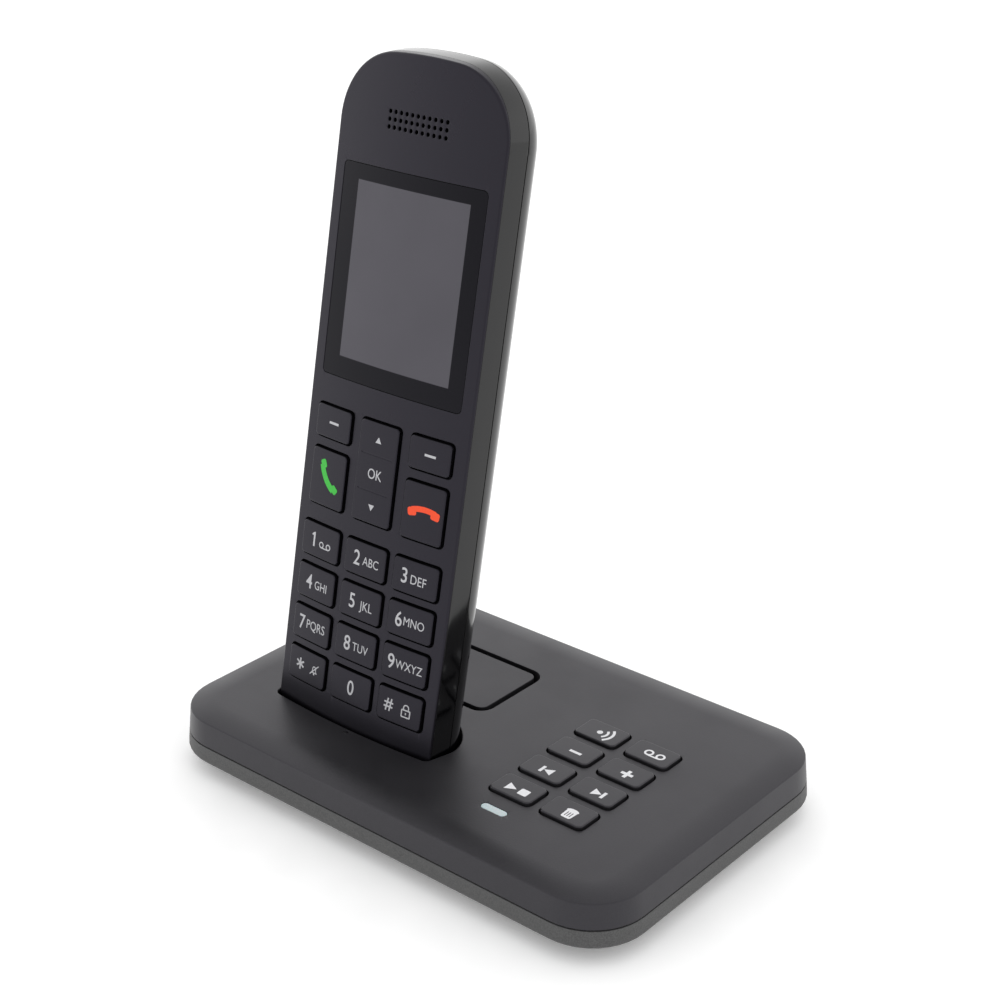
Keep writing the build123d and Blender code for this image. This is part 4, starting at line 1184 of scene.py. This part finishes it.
def rolled(entry, depth, part=1.0):
    """Place on the rolled edge of the face or on the side below it.

    part is how far round the rolled edge, from the face, where 1 stands for the place at this depth.
    """
    hub, side, start = edge_hub(entry)
    if part == 1.0 and depth >= start:
        return Vector((entry[0], depth, entry[1])) - draft(depth) * Vector((entry[2], 0.0, entry[3]))
    up = Vector((hub.x, hub.y - CROWN_RADIUS, 0.0)).normalized()
    low, high = 0.0, 1.0
    for _ in range(24):
        last = (low + high) / 2
        if hub.y + EDGE_RADIUS * up.slerp(side, last).y < depth:
            low = last
        else:
            high = last
    return hub + EDGE_RADIUS * up.slerp(side, last * part)


def edge_row(depth, inset=0.0, part=1.0):
    """Row round the handset on its outer form, or moved in from it by inset."""
    entries = inset_outline(0.0)
    return [rolled(entry, depth, part) - inset * Vector((entry[2], 0.0, entry[3])) for entry in entries]


window_shape = grown(*WINDOW, WINDOW_AT, (26, 26))


def front_shell(look):
    """Front cover of the handset, one closed skin with its inner skirt and screw posts."""
    skin = Skin()

    def inside(across):
        return min(crown(across, WALL), FRONT_EDGE)

    def glass_seat(across):
        return crown(across, 1.32)

    ease = look.part_ease
    rows = [edge_row(FRONT_EDGE - ease, part=0.999 * step / 7) for step in range(8)]
    rows += [edge_row(FRONT_EDGE - ease), edge_row(FRONT_EDGE - 0.3 * ease, 0.3 * ease),
             edge_row(FRONT_EDGE, ease), outline_row(WALL, FRONT_EDGE)]
    outer_ring, inner_ring = skin.rows(rows)
    holes, hems = [], []
    for place in key_places().values():
        shape = opening_shape(*place)
        skin.tube([*lip(shape, look.opening_ease, crown), sunk_ring(shape(0), inside)], holes, hems)
    view, seat = (grown(*size, WINDOW_AT, (26, 26)) for size in (WINDOW_VIEW, WINDOW_SEAT))
    skin.tube([*lip(window_shape, WINDOW_EDGE, crown), sunk_ring(window_shape(0), glass_seat),
               sunk_ring(view(0), glass_seat), sunk_ring(view(0), 3.1), sunk_ring(seat(0), 3.1),
               sunk_ring(seat(0), inside)], holes, hems)
    for row in (-1, 0, 1):
        for column in range(-5, 6):
            at = (column * EAR_PITCH[0], EAR_MIDDLE + row * EAR_PITCH[1])
            rows = lip(lambda grow: circle(EAR_HOLE + grow, at, 14), EAR_HOLE_EDGE, crown)
            skin.tube([*rows, sunk_ring(circle(EAR_HOLE, at, 14), inside)], holes, hems)
    skin.field(outer_ring, holes, front_view, lambda x, z: (x, crown(x), z), look.mesh_spacing)
    skin.field(inner_ring, hems, front_view, lambda x, z: (x, inside(x), z), 4.0)

    skirt = ((1.75, 2.0), (1.75, 5.0), (2.7, 5.0), (2.7, 2.0))
    first, last = skin.rows([outline_row(inset, depth) for inset, depth in skirt])
    skin.bridge(last, first)
    for place in POSTS:
        skin.post(((2.3, 1.5), (2.3, 7.2), (0.95, 7.2), (0.95, 3.6)), place,
                  lambda x, z, depth: (x, depth, z))
    shell = collect("handset_front_cover", leaned(skin), ["charcoal_plastic_face"])
    fit(shell, "handset", "handset_front_shell")


def side_frame(look):
    """Glossy band round the handset, with the microphone's hole in its lower end."""
    skin = Skin()
    ease = look.part_ease
    front, back = FRAME_DEPTHS
    rows = [edge_row(front, ease), edge_row(front + 0.3 * ease, 0.3 * ease), edge_row(front + ease)]
    rows += [edge_row(depth) for depth in (2.9, 3.7, 4.5, 5.3, 6.1, 6.7, back - ease)]
    rows += [edge_row(back - 0.3 * ease, 0.3 * ease), edge_row(back, ease)]
    first, last = skin.rows([*rows, outline_row(1.6, back), outline_row(1.6, front)])
    skin.bridge(last, first)
    band = collect("handset_side_band", leaned(skin), ["black_gloss"])
    hole = Skin()
    hole.post(((0.6, -2.0), (0.6, 4.0)), (0.0, 4.9))
    cut_away(band, collect("microphone_hole", leaned(hole), [], even=False))
    fit(band, "handset", "handset_side_frame")


def end_inset(depth, radius, thickness):
    """How far an end of the back has rounded in at this depth."""
    past = max(depth - (thickness - radius), 0.0)
    return radius - math.sqrt(radius * radius - past * past)


def back_row(angle, wall):
    """Section of the rounded back, from 0 degrees at the side to 90 at the middle, as points."""
    turn = math.radians(angle)
    thickness = THICKNESS - wall
    depth = SIDE_DEPTH + (thickness - SIDE_DEPTH) * math.sin(turn)
    half = (HALF - wall) * math.cos(turn)
    top, bottom = (wall + end_inset(depth, radius - wall, thickness) for radius in BACK_ENDS)
    scale = half / HALF
    flat = handset_outline(half, bottom, LENGTH - top, ARCH_RADIUS * scale,
                           (TOP_CORNER + 4.0 * math.sin(turn)) * scale, FOOT_CORNER * scale)
    return [(x, depth, z) for x, z, _, _ in flat]


# Angle from which the back has holes, and the radius that unrolls it.
FIELD_ANGLE = 36
WRAP = 22.0


def back_depth(across, wall=0.0):
    """Depth of the rounded back at a place across."""
    part = min(1.0, abs(across) / (HALF - wall))
    return SIDE_DEPTH + (THICKNESS - wall - SIDE_DEPTH) * math.sqrt(1 - part * part)


def back_views(wall):
    """The pair of functions that unroll the back and roll it up again."""
    half = HALF - wall

    def unroll(point):
        return WRAP * math.asin(max(-1.0, min(1.0, point.x / half))), point.z

    def roll(along, z):
        across = half * math.sin(along / WRAP)
        return across, back_depth(across, wall), z

    return unroll, roll


def back_surface(skin, first_row, wall, holes, spacing):
    """Rounded back between its edge row and the middle, with holes in its straight part."""
    count = OUTLINE_COUNT
    one = first_row
    for angle in range(3, FIELD_ANGLE + 1, 3):
        other = skin.ring(back_row(angle, wall))
        skin.bridge(one, other)
        one = other
    tops = [[one[i] for i in range(HIGH_STATION, count - HIGH_STATION + 1)]]
    feet = [[one[i] for i in (*range(count - LOW_STATION, count), *range(LOW_STATION + 1))]]
    for angle in (*range(FIELD_ANGLE + 3, 85, 3), 87):
        row = back_row(angle, wall)
        top = skin.ring(row[HIGH_STATION:count - HIGH_STATION + 1])
        foot = skin.ring(row[count - LOW_STATION:] + row[:LOW_STATION + 1])
        skin.bridge(tops[-1], top, closed=False)
        skin.bridge(feet[-1], foot, closed=False)
        tops.append(top)
        feet.append(foot)
    for strip in (tops[-1], feet[-1]):
        for i in range(len(strip) // 2):
            j = len(strip) - 1 - i
            far = [strip[j]] if j - i == 2 else [strip[j - 1], strip[j]]
            skin.face(strip[i], strip[i + 1], *far)
    outline = [foot[0] for foot in feet] + [foot[-1] for foot in reversed(feet)]
    outline += [one[i] for i in range(LOW_STATION + 1, HIGH_STATION)]
    outline += [top[0] for top in tops] + [top[-1] for top in reversed(tops)]
    outline += [one[count - i] for i in range(HIGH_STATION - 1, LOW_STATION, -1)]
    skin.field(outline, holes, *back_views(wall), spacing)


door_shape = grown(*DOOR, DOOR_AT, (26, 34))


def back_shell(look):
    """Back cover of the handset with its tray, screw posts and ringer slots."""
    skin = Skin()
    ease = look.part_ease

    def inner_depth(across):
        return back_depth(across, WALL)

    edge = ((0.0, ease), (0.3 * ease, 0.3 * ease), (ease, 0.0), (WALL, 0.0))
    outer, inner = skin.rows([outline_row(inset, BACK_EDGE + down) for inset, down in edge])
    holes, hems = [], []
    slots = [grown(1.2, 10, 0.55, (3.2 * step, 117.0), (1, 6)) for step in range(-2, 3)]
    for shape in (door_shape, *slots):
        skin.tube([*lip(shape, BACK_HOLE_EDGE, back_depth, deeper=-1), sunk_ring(shape(0), inner_depth)],
                  holes, hems)
    for place in POSTS:
        rows = lip(lambda grow: circle(2.1 + grow, place, 28), BACK_HOLE_EDGE, back_depth, deeper=-1)
        rows += [sunk_ring(circle(radius, place, 28), depth) for radius, depth in
                 ((2.1, 11.2), (1.1, 11.2), (1.1, BACK_EDGE), (2.9, BACK_EDGE), (2.9, inner_depth))]
        skin.tube(rows, holes, hems)
    back_surface(skin, outer, 0.0, holes, look.mesh_spacing)
    back_surface(skin, inner, WALL, hems, 3.0)

    half, low, high = TRAY
    plate = rounded(45.8, 70.0, 1.0, DOOR_AT)
    for end in skin.rows([sunk_ring(plate, BACK_EDGE), sunk_ring(plate, 8.1)]):
        skin.face(*end)
    tray = grown(2 * half, high - low, 0.3, (0.0, (low + high) / 2))
    # The tray's walls: how far out and how deep each row of their section lies.
    walls = ((1.2, 8.0), (1.2, 15.2), (1.0, 15.4), (0.2, 15.4), (0.0, 15.2), (0.0, 8.0))
    first, last = skin.rows([sunk_ring(tray(out), depth) for out, depth in walls])
    skin.bridge(last, first)
    shell = collect("handset_back_cover", leaned(skin), ["black_gloss"])
    pads = [((x - 2.1, x + 2.1), (9.4, 12.6), (-1.0, 0.6)) for x in (-8.0, 8.0)]
    cut_away(shell, boxes(pads, tilted=True))
    fit(shell, "handset", "handset_back_shell")


def battery_door(look):
    """Curved lid over the cells, with a grooved thumb rest."""
    skin = Skin()

    def groove_floor(across):
        return back_depth(across) - 0.45

    rows = lip(lambda grow: door_shape(grow - DOOR_GAP), BACK_HOLE_EDGE, back_depth, outward=-1, deeper=-1)
    rows.append(sunk_ring(door_shape(-DOOR_GAP), lambda across: back_depth(across, WALL)))
    outer, inner = skin.rows(rows)
    grooves = []
    for step in range(5):
        groove = grown(9.0 - 1.1 * step, 0.7, 0.34, (0.0, 80.0 + 1.7 * step), (10, 1), 4)
        floors = []
        skin.tube([*lip(groove, BACK_HOLE_EDGE, back_depth, deeper=-1), sunk_ring(groove(0), groove_floor)],
                  grooves, floors)
        skin.field(floors[0], [], front_view, lambda x, z: (x, groove_floor(x), z), 2.0)
    skin.field(outer, grooves, *back_views(0.0), look.mesh_spacing)
    skin.field(inner, [], *back_views(WALL), 3.0)
    door = collect("battery_door_lid", leaned(skin), ["black_gloss"])
    fit(door, "battery_door", "battery_door")


def display_lens(look):
    """Curved window over the display."""
    skin = Skin()
    gap, front, back = 0.08, 0.05, 1.3
    rows = lip(lambda grow: window_shape(grow - gap), WINDOW_EDGE, lambda u: crown(u, front), outward=-1)
    rows.append(sunk_ring(window_shape(-gap), lambda u: crown(u, back)))
    outer, inner = skin.rows(rows)
    skin.field(outer, [], front_view, lambda x, z: (x, crown(x, front), z), look.mesh_spacing)
    skin.field(inner, [], front_view, lambda x, z: (x, crown(x, back), z), 3.0)
    lens = collect("display_window", leaned(skin), ["display_glass"])
    fit(lens, "handset", "display_lens")


# ---- small pieces ----

def screw_skin(head, head_height, shank, length, slot):
    """Self-tapping screw, head down at 0, with a cross recess and a ridged shank."""
    skin = Skin()
    profile = [(head, 0.0), (head, -head_height), (shank, -head_height)]
    turns = 7
    for step in range(turns):
        low = -head_height - (length - head_height - 0.8) * (step + 0.5) / turns
        profile += [(shank * 0.78, low + 0.12), (shank, low - 0.12)]
    profile += [(shank * 0.3, -length)]
    tops, mouths = [], []
    skin.tube(lathe(profile), tops)
    arm, wide, deep = head * 0.55, slot, head_height * 0.5
    cross = [(arm, -wide), (arm, wide), (wide, wide), (wide, arm), (-wide, arm), (-wide, wide), (-arm, wide),
             (-arm, -wide), (-wide, -wide), (-wide, -arm), (wide, -arm), (wide, -wide)]
    skin.tube([[(x * scale, y * scale, z) for x, y in cross] for scale, z in ((1.0, 0.0), (0.8, -deep))],
              mouths)
    skin.field(tops[0], mouths, top_view, level(0.0), head)
    skin.points = [Vector((p.x, -p.y, -p.z)) for p in skin.points]
    return skin


def foot_skin():
    """Round rubber foot with a shallow ring groove, its lower face at 0."""
    skin = Skin()
    profile = ((4.5, 1.6), (4.5, 0.35), (4.15, 0.0), (3.2, 0.0), (3.0, 0.25), (2.4, 0.25), (2.2, 0.0))
    for end in skin.rows(lathe(profile, count=40)):
        skin.face(*end)
    return skin


# ---- add-on ----

def tint(name, description, default, strongest=1.0):
    """A colour that a user may change."""
    return FloatVectorProperty(name=name, description=description, default=default, subtype="COLOR",
                               min=0, max=strongest)


def measure(name, description, default, least, most):
    """A length in millimetres that a user may change."""
    return FloatProperty(name=name, description=description + ", in mm", default=default, min=least, max=most)


def share(name, description, default):
    """A share between 0 and 1 that a user may change."""
    return FloatProperty(name=name, description=description, default=default, min=0, max=1, subtype="FACTOR")


class TelephoneLook(bpy.types.PropertyGroup):
    """Sizes and colours that a user may change."""

    charcoal: tint("Charcoal", "Colour of the base's covers", (0.0115, 0.0112, 0.0124))
    face_colour: tint("Face", "Colour of the handset's face", (0.0022, 0.0020, 0.0026))
    band_colour: tint("Lower band", "Colour of the base's lower cover", (0.058, 0.058, 0.058))
    key_colour: tint("Keys", "Colour of the key caps", (0.0018, 0.0017, 0.0022))
    gloss_colour: tint("Gloss", "Colour of the glossy band and back", (0.0008, 0.0008, 0.0010))
    glass_colour: tint("Window border", "Colour of the window's border", (0.0015, 0.0015, 0.0018))
    display_colour: tint("Display", "Colour of the dark display", (0.080, 0.077, 0.087))
    ink_colour: tint("Marks", "Colour of the white marks", (0.43, 0.43, 0.45))
    base_ink_colour: tint("Base marks", "Colour of the marks on the base", (0.72, 0.72, 0.74))
    call_colour: tint("Call mark", "Colour of the call key's mark", (0.03, 0.42, 0.035))
    end_colour: tint("End mark", "Colour of the end key's mark", (0.80, 0.055, 0.003))
    light_colour: tint("Message light", "Colour of the unlit message light", (0.46, 0.54, 0.56))
    floor_colour: tint("Floor", "Colour of the pale floor", (0.93, 0.93, 0.93))
    floor_glow: share("Floor glow", "Light that comes up through the floor", 0.14)
    glass_sheen: share("Window sheen", "Strength of the window's reflection", 0.18)
    mesh_spacing: measure("Spacing", "Size of the triangles on the covers", 2.2, 0.8, 6.0)
    part_ease: measure("Joint edge", "Rounding at the handset's joints", 0.06, 0.02, 0.3)
    seam_ease: measure("Seam edge", "Rounding at the base's seam", 0.14, 0.02, 0.3)
    crease_ease: measure("Crease", "Rounding of the base's upper crease", 0.35, 0.1, 2.0)
    rim_ease: measure("Rim", "Rounding of the base's lower rim", 1.2, 0.1, 3.0)
    pocket_ease: measure("Pocket edge", "Rounding of the pocket's rim", 0.35, 0.05, 0.4)
    panel_ease: measure("Panel edge", "Rounding of the loudspeaker's lid", 0.14, 0.05, 0.6)
    opening_ease: measure("Opening edge", "Rounding of the key openings", 0.08, 0.02, 0.2)
    key_ease: measure("Key edge", "Rounding of the key caps", 0.32, 0.1, 0.5)
    screw_slot: measure("Screw slot", "Half width of the screws' cross recess", 0.35, 0.1, 0.6)
    foot_rows: IntProperty(name="Foot rows", description="Rows of feet under the base", default=2, min=1,
                           max=4)
    studio_light: FloatProperty(name="Studio light", description="Strength of the white surroundings",
                                default=1.0, min=0, max=5)
    back_light: tint("Light behind", "Surroundings behind the telephone", (1.46, 1.46, 1.46), 5.0)
    top_light: tint("Light above", "Surroundings above the telephone", (1.0, 1.0, 1.0), 5.0)
    front_light: tint("Light in front", "Surroundings behind the camera", (1.0, 1.0, 1.0), 5.0)
    lens_length: measure("Lens", "Focal length of the camera", 69.06, 20.0, 200.0)


class MakeBase(bpy.types.Operator):
    """Builds the base's covers and the loudspeaker's lid"""

    bl_idname = "telephone.base"
    bl_label = "Base covers"

    def execute(self, context):
        look = context.scene.telephone_look
        fit(base_top_cover(look), "base", "base_top_cover")
        fit(base_bottom_cover(look), "base", "base_bottom_cover")
        fit(speaker_panel(look), "base", "speaker_panel")
        return {"FINISHED"}


class MakeBaseKeys(bpy.types.Operator):
    """Builds the eight keys of the answering machine"""

    bl_idname = "telephone.base_keys"
    bl_label = "Base keys"

    def execute(self, context):
        look = context.scene.telephone_look
        pictures = drawings()
        places = [(x, y) for y in KEY_ROWS for x in KEY_COLUMNS]
        for name, at in zip(BASE_MARKS, places):
            base_key(name, at, look, pictures)
        return {"FINISHED"}


class MakeLights(bpy.types.Operator):
    """Builds the light guides of the message light and the charging light"""

    bl_idname = "telephone.lights"
    bl_label = "Lights"

    def execute(self, context):
        skin = Skin()
        upper, lower = skin.rows(drop(light_bar_shape, ((-0.3, BASE_TOP), (-0.13, BASE_TOP - 0.05),
                                                        (-0.05, BASE_TOP - 0.2), (-0.05, 11.5))))
        skin.field(upper, [], top_view, level(BASE_TOP), 1.0)
        skin.face(*lower)
        fit(collect("message_light_guide", skin, ["light_guide"]), "base", "message_light")
        skin = Skin()
        skin.post(((0.45, BASE_TOP), (0.58, BASE_TOP - 0.06), (0.62, BASE_TOP - 0.2), (0.62, 13.85)),
                  CHARGE_LIGHT_AT)
        fit(collect("charge_light_guide", skin, ["charge_light_guide"]), "base",
            "charge_light")
        return {"FINISHED"}


class MakeFastenings(bpy.types.Operator):
    """Repeats the screws and the feet over their places"""

    bl_idname = "telephone.fastenings"
    bl_label = "Screws and feet"

    def execute(self, context):
        look = context.scene.telephone_look
        feet = repeat("rubber_feet_set", foot_skin(), "foot_rubber", (2, look.foot_rows), (104.0, 60.0),
                      (0.0, 0.0, 0.0))
        fit(feet, "base", "rubber_feet")
        skin = screw_skin(2.7, 1.2, 1.3, 9.75, look.screw_slot)
        screws = repeat("base_screw_set", skin, "steel", (2, 2), (84.0, 65.0), (-2.0, -0.5, 1.25))
        fit(screws, "base", "base_screws")
        skin = screw_skin(1.9, 1.15, 0.8, 8.2, look.screw_slot * 0.75)
        screws = repeat("handset_screw_set", skin, "steel", (2, 2), (34.0, 130.0), (0.0, 74.0, 12.4),
                        tilted=True)
        fit(screws, "handset", "handset_screws")
        return {"FINISHED"}


class MakeHandset(bpy.types.Operator):
    """Builds the handset's shells, band, battery door and window"""

    bl_idname = "telephone.handset"
    bl_label = "Handset shells"

    def execute(self, context):
        for build in (front_shell, side_frame, back_shell, battery_door, display_lens):
            build(context.scene.telephone_look)
        return {"FINISHED"}


class MakeHandsetKeys(bpy.types.Operator):
    """Builds the keys of the handset with their marks"""

    bl_idname = "telephone.handset_keys"
    bl_label = "Handset keys"

    def execute(self, context):
        pictures = drawings()
        inks = {"key_call": "green_ink", "key_end": "red_ink"}
        for name, place in key_places().items():
            handset_key(name, place, context.scene.telephone_look, pictures, inks.get(name, "white_ink"))
        return {"FINISHED"}


# Pieces inside that keep the shape they have, by the finish that they get.
INSIDE_PIECES = {
    "tinned_metal": "loudspeaker_basket base_radio_shield handset_radio_shield",
    "cone_film": "loudspeaker_cone",
    "ferrite": "loudspeaker_magnet",
    "circuit_board": "base_circuit_board base_key_board handset_circuit_board",
    "silicone": "base_key_mat handset_key_mat",
    "chip_resin": "base_chips",
    "contact_metal": "charge_contacts charge_pads",
    "black_plastic": "line_socket power_socket navigation_pivot earpiece ringer",
    "display_panel": "display_module",
    "steel": "microphone battery_contacts",
    "cell_wrap": "battery_cells",
}


class FinishInside(bpy.types.Operator):
    """Gives the pieces inside the telephone their finishes"""

    bl_idname = "telephone.inside"
    bl_label = "Inside pieces"

    def execute(self, context):
        for finish, names in INSIDE_PIECES.items():
            for name in names.split():
                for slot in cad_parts[name].material_slots:
                    slot.material = FINISHES[finish]
        return {"FINISHED"}


def studio(look):
    """White surroundings that are bright behind, softer above and dim in front of the telephone."""
    world = bpy.data.worlds.new("studio")
    world.use_nodes = True
    tree = world.node_tree
    background = tree.nodes["Background"]
    aim = tree.nodes.new("ShaderNodeTexCoord").outputs["Generated"]

    def facing(direction, start, end):
        """How much a direction is looked into, from 0 at start to 1 at end."""
        along = tree.nodes.new("ShaderNodeVectorMath")
        along.operation = "DOT_PRODUCT"
        tree.links.new(aim, along.inputs[0])
        along.inputs[1].default_value = direction
        ramp = tree.nodes.new("ShaderNodeMapRange")
        ramp.interpolation_type = "SMOOTHSTEP"
        ramp.inputs["From Min"].default_value = start
        ramp.inputs["From Max"].default_value = end
        tree.links.new(along.outputs["Value"], ramp.inputs["Value"])
        return ramp.outputs["Result"]

    mixes = []
    for factor, light in ((facing((0.0, 0.0, 1.0), 0.3, 0.9), look.top_light),
                          (facing((0.45, -0.89, 0.0), 0.0, 0.85), look.front_light)):
        mix = tree.nodes.new("ShaderNodeMix")
        mix.data_type = "RGBA"
        tree.links.new(factor, mix.inputs[0])
        mix.inputs[7].default_value = (*light, 1.0)
        mixes.append(mix)
    mixes[0].inputs[6].default_value = (*look.back_light, 1.0)
    tree.links.new(mixes[0].outputs[2], mixes[1].inputs[6])
    tree.links.new(mixes[1].outputs[2], background.inputs["Color"])
    background.inputs["Strength"].default_value = look.studio_light
    return world


# Place of the camera, and how far it is turned to the right, tilted down and rolled, in degrees.
CAMERA_AT = (247.42, -291.07, 245.79)
CAMERA_TURN = (40.074, 24.475, 0.082)


def studio_camera(look):
    """Camera in front of the telephone, to its right and above it."""
    data = bpy.data.cameras.new("camera")
    data.lens = look.lens_length
    data.sensor_width = 36.0
    data.clip_start = 0.01
    camera = bpy.data.objects.new("camera", data)
    bpy.context.scene.collection.objects.link(camera)
    turn, tilt, roll = (math.radians(angle) for angle in CAMERA_TURN)
    back = Vector((math.sin(turn) * math.cos(tilt), -math.cos(turn) * math.cos(tilt), math.sin(tilt)))
    right = Vector((math.cos(turn), math.sin(turn), 0.0))
    up = back.cross(right)
    level_right = right * math.cos(roll) + up * math.sin(roll)
    level_up = up * math.cos(roll) - right * math.sin(roll)
    pose = Matrix((level_right, level_up, back)).transposed().to_4x4()
    camera.matrix_world = Matrix.Translation(Vector(CAMERA_AT) * MM) @ pose
    return camera


class MakeStage(bpy.types.Operator):
    """Lays the floor and sets the light and the camera"""

    bl_idname = "telephone.stage"
    bl_label = "Stage"

    def execute(self, context):
        look = context.scene.telephone_look
        skin = Skin()
        steps, width = 12, 8000
        skin.rows([[((x / steps - 0.5) * width, (y / steps - 0.5) * width, 0.0) for x in range(steps + 1)]
                   for y in range(steps + 1)], closed=False)
        collect("floor", skin, ["pale_floor"], even=False)
        context.scene.world = studio(look)
        context.scene.view_settings.view_transform = "Standard"
        context.scene.camera = studio_camera(look)
        return {"FINISHED"}


class TelephonePanel(bpy.types.Panel):
    """Buttons for the telephone's pieces"""

    bl_idname = "VIEW3D_PT_telephone"
    bl_label = "Telephone"
    bl_space_type = "VIEW_3D"
    bl_region_type = "UI"
    bl_category = "Telephone"

    def draw(self, context):
        for operator in OPERATORS:
            self.layout.operator(operator.bl_idname)
        for name in TelephoneLook.__annotations__:
            self.layout.prop(context.scene.telephone_look, name)


OPERATORS = (MakeBase, MakeBaseKeys, MakeLights, MakeFastenings, MakeHandset, MakeHandsetKeys,
             FinishInside, MakeStage)


def register():
    """Makes the classes known to Blender."""
    for kind in (TelephoneLook, *OPERATORS, TelephonePanel):
        bpy.utils.register_class(kind)
    bpy.types.Scene.telephone_look = PointerProperty(type=TelephoneLook)


def unregister():
    """Takes the classes back."""
    del bpy.types.Scene.telephone_look
    for kind in reversed((TelephoneLook, *OPERATORS, TelephonePanel)):
        bpy.utils.unregister_class(kind)


def main():
    """Builds the telephone."""
    register()
    FINISHES.update(paint_all(bpy.context.scene.telephone_look))
    for build in (bpy.ops.telephone.base, bpy.ops.telephone.base_keys, bpy.ops.telephone.lights,
                  bpy.ops.telephone.fastenings, bpy.ops.telephone.handset, bpy.ops.telephone.handset_keys,
                  bpy.ops.telephone.inside, bpy.ops.telephone.stage):
        build()


if __name__ == "__main__":
    main()
